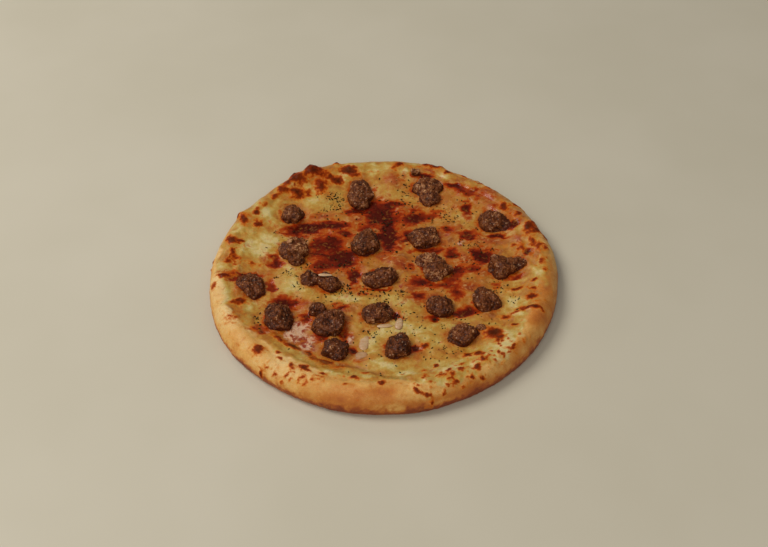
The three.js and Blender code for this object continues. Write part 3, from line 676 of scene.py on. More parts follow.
def creaseDistance(flat, line):
    best = np.full(len(flat), 99.0)
    for (ax, ay), (bx, by) in zip(line[:-1], line[1:]):
        span = np.array([bx - ax, by - ay])
        t = np.clip(((flat - (ax, ay)) @ span) / (span @ span), 0, 1)
        best = np.minimum(best, np.linalg.norm(flat - (ax, ay) - t[:, None] * span, axis=1))
    return best


def tone(red, green, blue):
    c = np.array([red, green, blue]) / 255
    linear = np.where(c <= 0.04045, c / 12.92, ((c + 0.055) / 1.055) ** 2.4)
    return (*linear.tolist(), 1.0)


def addNode(tree, kind, inputs=None, **settings):
    made = tree.nodes.new(kind)
    for key, value in settings.items():
        setattr(made, key, value)
    for key, value in (inputs or {}).items():
        if isinstance(value, bpy.types.NodeSocket):
            tree.links.new(value, made.inputs[key])
        else:
            made.inputs[key].default_value = value
    return made


def startMaterial(name):
    material = bpy.data.materials.new(name)
    material.use_nodes = True
    tree = material.node_tree
    tree.nodes.clear()
    shader = addNode(tree, "ShaderNodeBsdfPrincipled")
    addNode(tree, "ShaderNodeOutputMaterial", {"Surface": shader.outputs[0]})
    return material, tree, shader


def mixTone(tree, share, first, second):
    made = addNode(tree, "ShaderNodeMix", {0: share, 6: first, 7: second}, data_type="RGBA")
    return made.outputs[2]


def fieldOf(tree, name):
    return addNode(tree, "ShaderNodeAttribute", attribute_name=name).outputs["Fac"]


def noiseOf(tree, size, detail=4.0, roughness=0.55, stretch=None, distortion=0.0):
    place = addNode(tree, "ShaderNodeTexCoord").outputs["Object"]
    if stretch:
        place = addNode(tree, "ShaderNodeMapping", {"Vector": place, "Scale": stretch}).outputs[0]
    inputs = {"Vector": place, "Scale": 1 / (size * mm), "Detail": detail, "Roughness": roughness}
    inputs["Distortion"] = distortion
    return addNode(tree, "ShaderNodeTexNoise", inputs).outputs[0]


def between(tree, value, low, high, to=(0.0, 1.0)):
    inputs = {"Value": value, "From Min": low, "From Max": high, "To Min": to[0], "To Max": to[1]}
    return addNode(tree, "ShaderNodeMapRange", inputs, interpolation_type="SMOOTHSTEP").outputs[0]


def calc(tree, operation, first, second=0.0, clamp=False):
    inputs = {0: first, 1: second}
    return addNode(tree, "ShaderNodeMath", inputs, operation=operation, use_clamp=clamp).outputs[0]


# A ramp from places and sRGB tones.
def rampOf(tree, value, stops):
    made = addNode(tree, "ShaderNodeValToRGB", {"Fac": value})
    elements = made.color_ramp.elements
    for k, (place, shade) in enumerate(stops):
        element = elements[k] if k < 2 else elements.new(place)
        element.position = place
        element.color = tone(*shade)
    return made.outputs[0]


surfaceRamps = {
    "dough": [
        (0, (236, 200, 136)), (0.22, (226, 170, 90)), (0.42, (204, 126, 46)), (0.62, (176, 88, 28)),
        (0.9, (134, 56, 20)),
    ],
    "melted": [
        (0.06, (148, 74, 16)), (0.24, (172, 100, 28)), (0.42, (186, 122, 42)), (0.6, (194, 144, 58)),
        (0.78, (202, 169, 86)), (1, (220, 197, 132)),
    ],
    "orange": [
        (0.08, (204, 140, 58)), (0.32, (192, 112, 30)), (0.55, (180, 84, 14)), (0.78, (162, 56, 7)),
        (1, (136, 36, 6)),
    ],
    "sauce": [
        (0.06, (192, 112, 34)), (0.24, (188, 88, 15)), (0.41, (174, 62, 8)), (0.58, (148, 42, 6)),
        (0.77, (114, 26, 5)), (1, (78, 14, 4)),
    ],
    "toast": [
        (0.06, (222, 160, 72)), (0.24, (212, 126, 38)), (0.4, (194, 90, 18)), (0.54, (154, 54, 9)),
        (0.7, (116, 36, 8)), (0.95, (76, 24, 9)),
    ],
}


# One finish for dough and cheese, because the cheese runs over the rim without an edge.
def makeSurfaceMaterial(name):
    material, tree, shader = startMaterial(name)
    broad = noiseOf(tree, 18, 2)
    swirl = noiseOf(tree, 8, 3, 0.5, distortion=0.7)
    fine = noiseOf(tree, 2.2, 3, 0.55, distortion=0.3)
    grit = noiseOf(tree, 0.6, 3, 0.6)

    def centred(noise, share):
        return calc(tree, "MULTIPLY", calc(tree, "SUBTRACT", noise, 0.5), share)

    def summed(*parts):
        total = parts[0]
        for part in parts[1:]:
            total = calc(tree, "ADD", total, part)
        return total

    pale = fieldOf(tree, "pale")
    orange = fieldOf(tree, "orange")
    sauce = fieldOf(tree, "sauce")
    toast = fieldOf(tree, "toast")
    film = fieldOf(tree, "film")
    scorch = noiseOf(tree, 13, 5, 0.62, distortion=0.5)
    scorched = calc(tree, "MULTIPLY", fieldOf(tree, "under"), centred(scorch, 2.6))
    bake = summed(fieldOf(tree, "bake"), centred(broad, 0.35), centred(fine, 0.2), centred(swirl, 0.2))
    bake = summed(bake, scorched)
    plain = rampOf(tree, bake, surfaceRamps["dough"])
    warmth = summed(0.52, centred(swirl, 1.2), centred(fine, 0.35), centred(broad, 1.0))
    warmth = summed(warmth, calc(tree, "MULTIPLY", pale, 0.4), calc(tree, "MULTIPLY", orange, -0.24))
    melted = rampOf(tree, warmth, surfaceRamps["melted"])
    filmShare = between(tree, summed(film, centred(swirl, 0.9)), 0.15, 0.85)
    colour = mixTone(tree, filmShare, plain, melted)
    pinkShare = between(tree, summed(fieldOf(tree, "pink"), centred(fine, 0.9)), 0.2, 1.0, (0.0, 0.8))
    colour = mixTone(tree, pinkShare, colour, tone(188, 116, 76))
    mottle = noiseOf(tree, 4.4, 4, 0.6, distortion=0.6)
    orangeLevel = summed(orange, centred(swirl, 1.3), centred(mottle, 1.5))
    orangeShare = between(tree, orangeLevel, 0.1, 0.95, (0.0, 0.9))
    colour = mixTone(tree, orangeShare, colour, rampOf(tree, orangeLevel, surfaceRamps["orange"]))
    oily = calc(tree, "MINIMUM", orange, 1.0)
    cream = calc(tree, "MULTIPLY", between(tree, mottle, 0.46, 0.36, (0.0, 0.75)), oily)
    colour = mixTone(tree, cream, colour, tone(210, 156, 100))
    pulpNoise = noiseOf(tree, 4.6, 3, 0.6, distortion=0.4)
    shreds = between(tree, pulpNoise, 0.42, 0.58)
    pulpTone = mixTone(tree, shreds, tone(224, 182, 148), tone(152, 50, 20))
    pulpShare = between(tree, summed(fieldOf(tree, "pulp"), centred(fine, 0.8)), 0.15, 0.65, (0.0, 0.92))
    colour = mixTone(tree, pulpShare, colour, pulpTone)
    streak = noiseOf(tree, 5.5, 3, 0.55, (0.6, 1.1, 1.0), 0.6)
    streaks = calc(tree, "MULTIPLY", between(tree, streak, 0.48, 0.7, (0.0, 0.5)), oily)
    sauceLevel = summed(sauce, streaks, centred(swirl, 0.8), centred(mottle, 0.6))
    sauceShare = between(tree, sauceLevel, 0.02, 0.5, (0.0, 0.98))
    colour = mixTone(tree, sauceShare, colour, rampOf(tree, sauceLevel, surfaceRamps["sauce"]))
    toastLevel = summed(toast, centred(fine, 0.55), centred(mottle, 0.8))
    toastShare = between(tree, toastLevel, 0.03, 0.5, (0.0, 0.97))
    colour = mixTone(tree, toastShare, colour, rampOf(tree, toastLevel, surfaceRamps["toast"]))
    # painted shade: along the crease the colour darkens towards an olive brown
    colour = mixTone(tree, calc(tree, "MULTIPLY", fieldOf(tree, "shadedCrease"), 0.4), colour, tone(116, 84, 34))
    shade = between(tree, grit, 0.3, 0.7, (0.9, 1.08))
    scaled = addNode(tree, "ShaderNodeVectorMath", {0: colour, "Scale": shade}, operation="SCALE").outputs[0]
    tree.links.new(scaled, shader.inputs["Base Color"])
    notSauce = calc(tree, "SUBTRACT", 1.0, sauceShare)
    plainShare = calc(tree, "MULTIPLY", notSauce, calc(tree, "SUBTRACT", 1.0, toastShare))
    gloss = calc(tree, "MULTIPLY", summed(plainShare, 0.12), 0.32)
    tree.links.new(gloss, shader.inputs["Specular IOR Level"])
    tree.links.new(calc(tree, "MULTIPLY", sauceShare, 0.22), shader.inputs["Coat Weight"])
    shader.inputs["Coat Roughness"].default_value = 0.12
    dull = between(tree, film, 0.2, 0.8, (0.6, 0.36))
    rough = summed(dull, calc(tree, "MULTIPLY", sauceShare, -0.2), centred(fine, 0.3))
    tree.links.new(rough, shader.inputs["Roughness"])
    bump = addNode(tree, "ShaderNodeBump", {"Height": grit, "Strength": 0.3, "Distance": 0.2 * mm})
    tree.links.new(bump.outputs[0], shader.inputs["Normal"])
    shader.inputs["Subsurface Weight"].default_value = 0.12
    shader.inputs["Subsurface Radius"].default_value = (1.0, 0.55, 0.2)
    shader.inputs["Subsurface Scale"].default_value = 1.6 * mm
    return material


meatRamp = [
    (0.05, (50, 21, 6)), (0.28, (82, 37, 13)), (0.52, (107, 54, 22)), (0.74, (136, 77, 37)),
    (0.95, (206, 152, 104)),
]


def makeMeatMaterial():
    material, tree, shader = startMaterial("cookedSausage")
    fine = noiseOf(tree, 1.1, 4, 0.7, distortion=0.6)
    grit = noiseOf(tree, 0.45, 2)
    grain = calc(tree, "MULTIPLY", calc(tree, "SUBTRACT", fine, 0.5), 1.7)
    colour = rampOf(tree, calc(tree, "ADD", fieldOf(tree, "tint"), grain), meatRamp)
    # painted shade: where the crevice shade mask is low, between the chunks and in the hollows, the colour
    # darkens towards a deep brown
    hollowShade = between(tree, fieldOf(tree, "creviceShadeMask"), 0.1, 0.8, (0.55, 0.0))
    colour = mixTone(tree, hollowShade, colour, tone(46, 20, 9))
    # pale specks: partly fat, partly painted glints
    colour = mixTone(tree, fieldOf(tree, "fatFleckAndGlint"), colour, tone(206, 160, 124))
    # dark red towards the lump's foot: partly juice, partly painted contact shade
    colour = mixTone(tree, fieldOf(tree, "juiceAndFootShade"), colour, tone(74, 20, 6))
    tree.links.new(colour, shader.inputs["Base Color"])
    rough = between(tree, fine, 0.35, 0.65, (0.28, 0.55))
    tree.links.new(rough, shader.inputs["Roughness"])
    bump = addNode(tree, "ShaderNodeBump", {"Height": grit, "Strength": 0.5, "Distance": 0.25 * mm})
    tree.links.new(bump.outputs[0], shader.inputs["Normal"])
    shader.inputs["Specular IOR Level"].default_value = 0.15
    return material


def makeSliverMaterial():
    material, tree, shader = startMaterial("paleSliver")
    streak = noiseOf(tree, 2.2, 3, 0.5, (0.35, 1.2, 1.0))
    colour = mixTone(tree, between(tree, streak, 0.35, 0.65), tone(196, 156, 112), tone(212, 178, 138))
    browned = between(tree, fieldOf(tree, "edge"), 0.0, 1.0, (0.0, 0.85))
    colour = mixTone(tree, browned, colour, tone(172, 114, 66))
    tree.links.new(colour, shader.inputs["Base Color"])
    shader.inputs["Roughness"].default_value = 0.32
    shader.inputs["Subsurface Weight"].default_value = 0.3
    shader.inputs["Subsurface Radius"].default_value = (1.0, 0.7, 0.4)
    shader.inputs["Subsurface Scale"].default_value = 1.2 * mm
    return material


def makeHerbMaterial():
    material, tree, shader = startMaterial("driedHerb")
    shade = noiseOf(tree, 1.8, 2)
    colour = mixTone(tree, between(tree, shade, 0.35, 0.65), tone(20, 18, 8), tone(54, 46, 20))
    tree.links.new(colour, shader.inputs["Base Color"])
    shader.inputs["Roughness"].default_value = 0.8
    shader.inputs["Specular IOR Level"].default_value = 0.12
    return material


def makeFloorMaterial():
    material, tree, shader = startMaterial("paleFloor")
    broad = noiseOf(tree, 180, 3)
    colour = mixTone(tree, between(tree, broad, 0.3, 0.7), tone(206, 198, 176), tone(211, 203, 182))
    tree.links.new(colour, shader.inputs["Base Color"])
    shader.inputs["Roughness"].default_value = 0.55
    return material


def makeSurfaces():
    grid, gridFlat, crest = doughGrid()
    shape = grid.shape[:2]
    normals = gridNormals(grid)
    if normals[crest, 0, 2] < 0:
        normals = -normals
    doughPoints = grid.reshape(-1, 3)
    doughFlat = gridFlat.reshape(-1, 2)
    cheeseFlat, cheeseFaces, edgeStart = cheeseGrid()
    cheeseLevel = cheeseTopAt(cheeseFlat[:, 0], cheeseFlat[:, 1])
    cheesePoints = np.column_stack([cheeseFlat, cheeseLevel])
    # settle the marks on what the camera sees: the cheese, and the dough from the crest's inside outwards
    outside = np.repeat(np.arange(shape[0]) < crest + dough["ringsSeenInside"], shape[1])
    outside &= np.repeat(np.arange(shape[0]) > dough["undersideRings"], shape[1])
    place = sightAxes()[0]
    facing = ((place - doughPoints) * normals.reshape(-1, 3)).sum(axis=1) > 0
    visible = outside & facing
    seen = asSeen(np.concatenate([cheesePoints, doughPoints[visible]]))
    flatSeen = np.concatenate([cheeseFlat, doughFlat[visible]])
    settled = {key: [settle(mark, seen, flatSeen) for mark in places] for key, places in marks.items()}
    shadedCrease = [settle((x, y), seen, flatSeen)[:2] for x, y in creaseLine]
    print("marks settled on the surface")
    makeDoughPiece(grid, gridFlat, normals, crest, settled, shadedCrease)
    makeCheesePiece(cheesePoints, cheeseFaces, edgeStart, settled, shadedCrease)


oven = {
    "filmWave": 3.4, "filmFade": 4.0,  # the film of cheese on the rim ends in a wavy, soft edge
    "rimFrom": 95, "side": (15, 5), "low": (10.0, 3.6),  # heights between which the sides grow browner
    "plain": 0.15, "patches": 0.13, "sideShare": 0.17, "lowShare": 0.5, "brownShare": 0.28,
    "brownestBearing": 20, "turnedShare": 0.13,  # browner to the right and the back
    "underside": 0.58,
}


# How much cheese lies at a point, and how browned the dough is there without it.
def coverAndBake(points, flat, fields):
    at = np.array([b for b, _ in dough["film"]] + [360])
    reach = np.array([r for _, r in dough["film"]] + [dough["film"][0][1]])
    radius = np.hypot(flat[:, 0], flat[:, 1])
    bearing = bearingOf(flat[:, 0], flat[:, 1])
    filmEdge = np.interp(np.mod(bearing, 360), at, reach) + swellAt(bearing)[0]
    wave = oven["filmWave"] * layeredNoise(points, 9, 3, 71)
    film = 1 - smoothStep(-oven["filmFade"], oven["filmFade"], radius + wave - filmEdge)
    height = points[:, 2]
    outer = radius > oven["rimFrom"]
    ragged = layeredNoise(points, 5, 3, 72)
    side = smoothStep(*oven["side"], height + 1.5 * ragged) * outer
    low = smoothStep(*oven["low"], height + 1.8 * ragged + 1.6 * layeredNoise(points, 2, 2, 70)) * outer
    turned = 0.5 + 0.5 * np.cos(np.radians(bearing - oven["brownestBearing"]))
    bake = oven["plain"] + oven["patches"] * layeredNoise(points, 22, 3, 73)
    bake = bake + oven["sideShare"] * side + oven["lowShare"] * low
    bake = bake + oven["brownShare"] * fields["brown"] + oven["turnedShare"] * turned
    return film, bake, low


def makeDoughPiece(grid, gridFlat, normals, crest, settled, shadedCrease):
    points = grid.reshape(-1, 3)
    flat = gridFlat.reshape(-1, 2)
    fields = makeFields(flat, settled)
    height = points[:, 2]
    radius = np.hypot(flat[:, 0], flat[:, 1])
    flatUnder = height < dough["flatBelow"]
    under = 1 - smoothStep(*dough["underFade"], height)
    for key in fields:
        fields[key] = fields[key] * (1 - under)
    film, bake, low = coverAndBake(points, flat, fields)
    fields["film"] = film * (1 - under)
    fields["under"] = flatUnder * smoothStep(*dough["scorchFades"], radius)
    fields["bake"] = np.where(flatUnder, oven["underside"], bake)
    groove = bell(creaseDistance(flat, shadedCrease), surface["creaseWidth"])
    fields["shadedCrease"] = groove * (radius < dough["creaseWithin"])
    relief = surfaceRelief(points, fields)
    relief += 0.25 * low * layeredNoise(points, 2.4, 2, 79)
    relief *= 1 - under
    hollows = np.minimum(0.0, 0.25 * layeredNoise(points, 7, 3, 80) - 0.1)
    relief += flatUnder * (radius < dough["hollowsWithin"]) * hollows
    inWell = np.hypot(points[:, 0], points[:, 1]) < dough["radius"] - dough["wellInset"] - 1
    relief = np.where(inWell & (height > 2), 0, relief)
    moved = points + normals.reshape(-1, 3) * relief[:, None]
    moved[:, 2] = np.maximum(moved[:, 2], np.where(flatUnder, 0.0, 0.02))  # nothing goes below the floor
    panels = grid.shape[1]
    poles = np.array([[0, 0, 0.0], [0, 0, dough["wellFloor"]]])
    faces = ringFaces(grid.shape[0], panels, len(moved), len(moved) + 1)
    fields = {key: np.concatenate([value, value[[0, -1]]]) for key, value in fields.items()}
    piece = makePiece("baked_dough", np.concatenate([moved, poles]), faces, fields, surfaceMaterial)
    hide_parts("crust")
    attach(piece, "root")
    print("dough", len(faces), "faces")


def makeCheesePiece(points, faces, edgeStart, settled, shadedCrease):
    flat = points[:, :2]
    fields = makeFields(flat, settled)
    x = points[:, 0]
    y = points[:, 1]
    sheet = np.column_stack([x, y, doughTopAt(x, y)])
    fields["film"], fields["bake"], _ = coverAndBake(sheet, flat, fields)
    # a ring of sauce round each lump: partly juice, partly painted contact shade
    beside = besideLumps(x, y)
    patchy = 0.12 + 1.1 * smoothNoise(sheet, 9, 56)
    fields["sauce"] = np.maximum(fields["sauce"], beside * np.clip(patchy, 0, cheese["mostRingJuiceAndShade"]))
    oil = cheese["oilStrength"] * besideLumps(x, y, cheese["oilReach"])
    fields["orange"] = np.maximum(fields["orange"], oil)
    fields["shadedCrease"] = bell(creaseDistance(flat, shadedCrease), surface["creaseWidth"])
    relief = surfaceRelief(sheet, fields)
    spacing = cheese["bubbleSpacing"]
    nearest, _, draw = grainNoise(np.column_stack([flat, np.zeros(len(flat))]), spacing, 55)
    bubbles = -cheese["bubbleDepth"] * bell(nearest * spacing, 1.1 + draw) * (draw > cheese["bubblesAbove"])
    bubbles = bubbles * (1 - np.clip(fields["sauce"], 0, 1))
    edge = cheeseEdgeAt(bearingOf(x, y))
    within = smoothStep(0.0, cheese["edgeWidth"], edge - np.hypot(x, y))
    moved = points.copy()
    low = sheet[:, 2] + relief - cheese["edgeSink"]
    high = points[:, 2] + relief + bubbles + cheese["besideLumps"] * beside
    moved[:, 2] = low + (high - low) * within
    count = len(points) - edgeStart
    rim = moved[edgeStart:]
    lower = rim.copy()
    lower[:, 2] -= cheese["edgeThickness"]
    inner = rim.copy()
    inner[:, :2] *= cheese["reachUnder"]
    inner[:, 2] = dough["wellFloor"] + cheese["gap"]
    step = np.arange(count)
    after = (step + 1) % count
    starts = (edgeStart, len(moved), len(moved) + count)
    faces = list(faces)
    for here, there in zip(starts[:-1], starts[1:]):
        faces += np.stack([here + step, there + step, there + after, here + after], axis=1).tolist()
    last = starts[-1]
    faces += np.stack([last + step, np.full(count, last + count), last + after], axis=1).tolist()
    middle = np.array([[0, 0, dough["wellFloor"] + cheese["gap"]]])
    allPoints = np.concatenate([moved, lower, inner, middle])
    fields = {k: np.concatenate([v, v[edgeStart:], v[edgeStart:], v[:1]]) for k, v in fields.items()}
    piece = makePiece("melted_cheese", allPoints, faces, fields, surfaceMaterial)
    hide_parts("cheese")
    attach(piece, "root")
    print("cheese", len(faces), "faces")


# The same repeatable draw that shapes the part's lumps.
class Draw:
    def __init__(self, seed):
        self.state = (seed * 2654435761) & 0xFFFFFFFF
        self.next()

    def next(self):
        self.state = (1664525 * self.state + 1013904223) & 0xFFFFFFFF
        return self.state / 4294967296


def lumpBall(half, rise, draw, directions):
    reach = np.ones(len(directions))
    for count, slowest, fastest, depth in meat["waves"]:
        for _ in range(count):
            height = 2 * draw.next() - 1
            a = 2 * math.pi * draw.next()
            across = math.sqrt(1 - height * height)
            along = np.array([across * math.cos(a), across * math.sin(a), height])
            pitch = slowest + (fastest - slowest) * draw.next()
            start = 2 * math.pi * draw.next()
            reach += depth * np.sin(pitch * (directions @ along) + start)
    blunt = np.sign(directions[:, 2]) * np.abs(directions[:, 2]) ** meat["blunt"]
    flatPart = directions[:, :2] * reach[:, None] * np.array(half)
    return np.column_stack([flatPart, blunt * reach * rise])


def unitSphere(subdivisions):
    bpy.ops.mesh.primitive_ico_sphere_add(subdivisions=subdivisions, radius=1)
    ball = bpy.context.active_object
    points = np.array([v.co for v in ball.data.vertices], float)
    points /= np.linalg.norm(points, axis=1, keepdims=True)
    faces = [list(p.vertices) for p in ball.data.polygons]
    bpy.data.objects.remove(ball)
    return points, faces


meat = {
    "voxel": 0.44, "sink": 0.5, "lobeRise": 0.82, "chunk": 4.4, "strand": 1.5, "drawIn": 0.62, "blunt": 0.62,
    "waves": ((4, 2, 4, 0.05), (5, 5, 8, 0.035)),  # how many, slowest, fastest and depth
    # how high each kind of relief is, then its share in the colour
    "swell": 0.5, "crag": 0.6, "chunks": 0.7, "seam": 0.28, "strands": 0.26, "grain": 0.34,
    "tone": 0.42, "strandTone": 0.14, "cragTone": 0.2, "chunkTone": 0.26,
    # by number: how much lighter or darker than the others a lump or crumb is
    "shade": {
        2: 0.02, 3: 0.1, 5: 0.1, 7: 0.02, 8: 0.14, 10: -0.02, 11: -0.08, 13: -0.12, 14: -0.04, 16: -0.05,
        18: -0.12, 19: -0.1, 20: -0.08, 51: 0.15, 52: 0.3,
    },
}


def makeLump(name, node, seed, shape, sphere, material):
    (cx, cy), half, rise, turn, lobe = shape
    directions, sphereFaces = sphere
    draw = Draw(seed)
    level = float(cheeseTopAt(np.array([float(cx)]), np.array([float(cy)]), 1.1, 0.0)[0]) + meat["sink"]
    a = math.radians(turn)
    ball = lumpBall(half, rise, draw, directions)
    turned = ball.copy()
    turned[:, 0] = ball[:, 0] * math.cos(a) - ball[:, 1] * math.sin(a) + cx
    turned[:, 1] = ball[:, 0] * math.sin(a) + ball[:, 1] * math.cos(a) + cy
    turned[:, 2] += level
    points = [turned]
    faces = [list(f) for f in sphereFaces]
    if lobe:
        side = lumpBall(lobe[1], rise * meat["lobeRise"], draw, directions)
        points.append(side + np.array([cx + lobe[0][0], cy + lobe[0][1], level]))
        faces += [[i + len(directions) for i in f] for f in sphereFaces]
    points = np.concatenate(points)
    floor = cheeseTopAt(points[:, 0], points[:, 1]) - 1.2
    points[:, 2] = np.maximum(points[:, 2], floor)
    rough = makePiece(name + "_rough", points, faces, {}, material)
    remesh = rough.modifiers.new("voxels", "REMESH")
    remesh.mode = "VOXEL"
    remesh.voxel_size = meat["voxel"] * mm
    remesh.use_smooth_shade = True
    mesh = meshFrom(rough)
    count = len(mesh.vertices)
    co = np.zeros(count * 3)
    mesh.vertices.foreach_get("co", co)
    co = co.reshape(-1, 3) / mm - centreShift
    normal = np.zeros(count * 3, np.float32)
    mesh.vertex_normals.foreach_get("vector", normal)
    normal = normal.reshape(-1, 3)
    own = co + 50.0 * seed
    bent = own + 0.9 * np.column_stack([layeredNoise(own, 3, 2, seed + k) for k in (11, 12, 13)])
    nearest, second, chunk = grainNoise(bent, meat["chunk"], seed)
    gap = smoothStep(0.0, 0.22, second - nearest)
    crag = layeredNoise(own, 3.2, 3, seed + 5)
    strand = 1 - 2.2 * np.abs(smoothNoise(bent * (1, 1, 0.7), meat["strand"], seed + 9))
    relief = meat["swell"] * layeredNoise(own, 8, 2, seed + 4) + meat["crag"] * crag
    relief = relief + meat["chunks"] * (chunk - 0.5) * gap + meat["seam"] * gap
    relief += meat["strands"] * strand + meat["grain"] * layeredNoise(own, 1.1, 1, seed + 8) - meat["drawIn"]
    # pale specks on a few grains: partly fat, partly painted glints
    grains, _, glint = grainNoise(own, 1.4, seed + 21)
    above = co[:, 2] - cheeseTopAt(co[:, 0], co[:, 1])
    grounded = smoothStep(-0.6, 1.2, above)
    moved = co + normal * (relief * (0.25 + 0.75 * grounded))[:, None]
    mesh.vertices.foreach_set("co", toWorld(moved).ravel())
    tint = meat["tone"] + meat["shade"].get(seed - 99, 0.0) + meat["strandTone"] * strand
    tint = tint + meat["cragTone"] * crag + meat["chunkTone"] * (chunk - 0.5)
    # the crevice shade mask is low between the chunks and in the hollows of strands and crags, where the
    # material paints shade
    hollowShade = smoothStep(-1.0, 0.2, strand + 0.6 * crag)
    fields = {
        "tint": np.clip(tint, 0, 1),
        "creviceShadeMask": np.minimum(smoothStep(-0.1, 0.2, second - nearest), hollowShade),
        "fatFleckAndGlint": 0.75 * (glint > 0.87) * (1 - smoothStep(0.15, 0.45, grains)),
        # darker red towards the foot: partly juice, partly painted contact shade where the lump meets the
        # cheese
        "juiceAndFootShade": 0.85 * smoothStep(2.8, 0.2, above + 1.6 * layeredNoise(own, 4, 2, seed + 6)),
    }
    piece = addPiece(name, mesh, fields, material)
    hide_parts(node)
    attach(piece, "root")
    return len(mesh.polygons)


def makeLumps():
    material = makeMeatMaterial()
    sphere = unitSphere(5)
    total = 0
    for i, shape in enumerate(sausages):
        total += makeLump(f"meat_{i + 1:02d}", f"sausage_{i + 1:02d}", 100 + i, shape, sphere, material)
    for i, shape in enumerate(crumbs):
        total += makeLump(f"meat_crumb_{i + 1}", f"sausage_crumb_{i + 1}", 150 + i, shape, sphere, material)
    print("sausage lumps", total, "faces")


# centre, length, width, thickness, turn, whether it lies on a lump, and how browned it is
slivers = [
    ((-41, -10.8), (10, 2.4, 1.4), -5, True, 0.0),
    ((0.4, -55.2), (11, 3.2, 2.0), -3, False, 0.0),
    ((10.6, -54), (10.4, 5.6, 2.2), 80, False, 0.4),
    ((-13.2, -69.8), (13.5, 6.5, 1.4), 80, False, 0.5),
    ((-15.5, -81.5), (9, 7, 1.2), 15, False, 1.0),
]


def makeSlivers():
    material = makeSliverMaterial()
    directions, faces = unitSphere(4)
    for i, ((cx, cy), (length, width, thick), turn, onLump, browned) in enumerate(slivers):
        draw = Draw(300 + i)
        bend = 0.12 + 0.1 * draw.next()
        along = np.sign(directions[:, 0]) * np.abs(directions[:, 0]) ** 0.8
        across = directions[:, 1] * (1 - 0.2 * along)
        x = length / 2 * along
        y = width / 2 * (across + bend * (1 - along**2))
        a = math.radians(turn)
        px = cx + x * math.cos(a) - y * math.sin(a)
        py = cy + x * math.sin(a) + y * math.cos(a)
        if onLump:
            rest = np.full(len(px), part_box("sliver_1")[0][2] / mm + 0.5)
        else:
            rest = cheeseTopAt(px, py) - 0.25 - 0.5 * browned
        ripple = 0.16 * layeredNoise(np.column_stack([px, py, 9.0 * np.full(len(px), i)]), 3, 2, 90 + i)
        z = rest + thick / 2 * (1 + directions[:, 2]) + ripple * (directions[:, 2] > 0)
        edge = browned * (0.4 + 0.6 * np.clip(np.hypot(along, across) ** 3, 0, 1))
        points = np.column_stack([px, py, z])
        piece = makePiece(f"pale_slice_{i + 1}", points, faces, {"edge": edge}, material)
        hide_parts(f"sliver_{i + 1}")
        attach(piece, "root")
    print("slivers", len(slivers))


# Herb flakes: Geometry Nodes put bent leaf bits on points drawn round where they fell.
herb = {
    "seed": 41, "sizeRange": (0.25, 1.2), "length": 1.7, "width": 0.85, "thickness": 0.28, "lift": 0.1,
    "plenty": 1.6, "looseness": 1.25, "within": 104, "clearOfLumps": 0.6,
    # centre, spread and number of flakes
    "clusters": [
        (-40, 76, 10, 46), (-36, 81, 5, 16), (-77, 39, 5, 12), (-70, -8, 8, 40), (-62, -12, 6, 20),
        (-29, -20, 6, 22), (-34, -25, 8, 26), (-16, -27, 8, 26), (6, -28, 9, 34), (13, -27, 4, 14),
        (-10, -64, 6, 26), (-6, -84, 4, 7), (5, -96, 8, 10), (30, -60, 10, 38), (34, -80, 8, 26),
        (18, -62, 6, 14), (62, 22, 8, 20), (56, 58, 9, 26), (22, 78, 8, 22), (66, 76, 7, 14),
        (80, 62, 8, 12), (82, -20, 6, 12), (92, -34, 4, 8), (46, -78, 6, 12), (5, 52, 4, 14),
        (-60, 4, 6, 16), (-88, -48, 4, 6), (-57, 28, 5, 10), (44, 50, 7, 14), (0, -54, 6, 8),
        (0, 0, 95, 190), (8, 20, 60, 240), (12, -47, 4, 22), (-28, 5, 6, 8), (14, 88, 8, 8),
        (52, -54, 5, 8), (70, -48, 6, 7), (-50, 66, 6, 12),
    ],
}


def herbPoints():
    draw = np.random.default_rng(herb["seed"])
    places = []
    for x, y, spread, count in herb["clusters"]:
        count = round(herb["plenty"] * count)
        a = draw.uniform(0, 2 * math.pi, count)
        reach = spread * herb["looseness"] * np.sqrt(draw.uniform(0, 1, count))
        places.append(np.column_stack([x + reach * np.cos(a), y + reach * np.sin(a)]))
    places = np.concatenate(places)
    places = places[np.hypot(places[:, 0], places[:, 1]) < herb["within"]]
    return places[besideLumps(places[:, 0], places[:, 1]) < herb["clearOfLumps"]]


def flakeTree(flake, material):
    tree = bpy.data.node_groups.new("scatterFlakes", "GeometryNodeTree")
    tree.interface.new_socket("Geometry", in_out="INPUT", socket_type="NodeSocketGeometry")
    tree.interface.new_socket("Geometry", in_out="OUTPUT", socket_type="NodeSocketGeometry")
    for name, kind in (("Smallest", "Float"), ("Largest", "Float"), ("Seed", "Int")):
        tree.interface.new_socket(name, in_out="INPUT", socket_type="NodeSocket" + kind)
    start = addNode(tree, "NodeGroupInput")
    shape = addNode(tree, "GeometryNodeObjectInfo", {"Object": flake})
    turnInputs = {"Min": (-0.35, -0.35, 0.0), "Max": (0.35, 0.35, 6.283), "Seed": start.outputs["Seed"]}
    turn = addNode(tree, "FunctionNodeRandomValue", turnInputs, data_type="FLOAT_VECTOR")
    size = addNode(tree, "FunctionNodeRandomValue", data_type="FLOAT")
    for index, key in ((2, "Smallest"), (3, "Largest")):
        tree.links.new(start.outputs[key], size.inputs[index])
    tree.links.new(start.outputs["Seed"], size.inputs["Seed"])
    scatterInputs = {
        "Points": start.outputs["Geometry"], "Instance": shape.outputs["Geometry"],
        "Rotation": turn.outputs[0], "Scale": size.outputs[1],
    }
    scatter = addNode(tree, "GeometryNodeInstanceOnPoints", scatterInputs)
    real = addNode(tree, "GeometryNodeRealizeInstances", {"Geometry": scatter.outputs[0]})
    finish = addNode(tree, "GeometryNodeSetMaterial", {"Geometry": real.outputs[0], "Material": material})
    addNode(tree, "NodeGroupOutput", {"Geometry": finish.outputs[0]})
    return tree


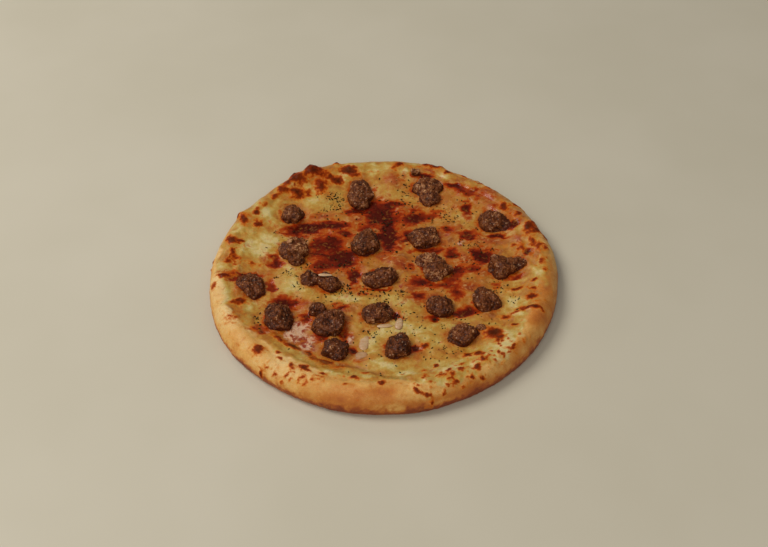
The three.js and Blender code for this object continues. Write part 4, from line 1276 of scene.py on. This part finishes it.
def makeHerb():
    material = makeHerbMaterial()
    # one flake: a bent, pointed leaf bit with a thickness
    outline = [(-0.5, -0.1), (-0.2, -0.45), (0.25, -0.4), (0.55, 0.0), (0.15, 0.42), (-0.35, 0.38)]
    points = []
    for side in (-0.5, 0.5):
        for x, y in outline:
            points.append((x * herb["length"], y * herb["width"], side * herb["thickness"] + 0.25 * x * x))
        points.append((0.0, 0.0, side * herb["thickness"] * 1.2))
    faces = []
    for k in range(6):
        n = (k + 1) % 6
        faces += [[k, 6, n], [7 + k, 7 + n, 13], [k, n, 7 + n, 7 + k]]
    flakeMesh = bpy.data.meshes.new("flake")
    flakeMesh.from_pydata([tuple(c * mm for c in p) for p in points], [], faces)
    flakeMesh.update()
    flake = bpy.data.objects.new("flake", flakeMesh)
    bpy.context.scene.collection.objects.link(flake)
    places = herbPoints()
    z = cheeseTopAt(places[:, 0], places[:, 1]) + herb["lift"]
    spots = makePiece("herb_spots", np.column_stack([places, z]), [], {}, material)
    scatter = spots.modifiers.new("scatter", "NODES")
    scatter.node_group = flakeTree(flake, material)
    values = {"Smallest": herb["sizeRange"][0], "Largest": herb["sizeRange"][1], "Seed": herb["seed"]}
    for item in scatter.node_group.interface.items_tree:
        if item.in_out == "INPUT" and item.name in values:
            scatter[item.identifier] = values[item.name]
    mesh = meshFrom(spots)
    bpy.data.objects.remove(flake)
    piece = bpy.data.objects.new("herb_flakes", mesh)
    bpy.context.scene.collection.objects.link(piece)
    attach(piece, "root")
    print("herb flakes", len(places), "with", len(mesh.polygons), "faces")


def makeFloor():
    half = 3000.0
    corners = [(-half, -half, 0), (half, -half, 0), (half, half, 0), (-half, half, 0)]
    floor = makePiece("floor", corners, [[0, 1, 2, 3]], {}, makeFloorMaterial())


lights = {  # place in metres, size in metres, power in watts, colour
    "key": ((-1.25, 0.35, 1.75), 1.2, 24.0, (1.0, 0.97, 0.93)),
    "fill": ((-0.35, -1.7, 1.35), 1.5, 13.0, (1.0, 0.98, 0.95)),
    "back": ((-0.8, 1.7, 1.4), 0.4, 2.0, (1.0, 0.98, 0.95)),
}


def makeLights():
    for name, (place, size, power, colour) in lights.items():
        data = bpy.data.lights.new(name, "AREA")
        data.shape = "DISK"
        data.size = size
        data.energy = power
        data.color = colour
        lamp = bpy.data.objects.new(name, data)
        lamp.location = place
        lamp.rotation_euler = (-Vector(place)).to_track_quat("-Z", "Y").to_euler()
        bpy.context.scene.collection.objects.link(lamp)
    world = bpy.data.worlds.new("room")
    world.use_nodes = True
    sky = world.node_tree.nodes["Background"]
    sky.inputs["Color"].default_value = (1.0, 0.97, 0.92, 1.0)
    sky.inputs["Strength"].default_value = 0.21
    bpy.context.scene.world = world
    bpy.context.scene.view_settings.view_transform = "Standard"


makeCamera()
surfaceMaterial = makeSurfaceMaterial("bakedSurface")
makeSurfaces()
makeLumps()
makeSlivers()
makeHerb()
makeFloor()
makeLights()
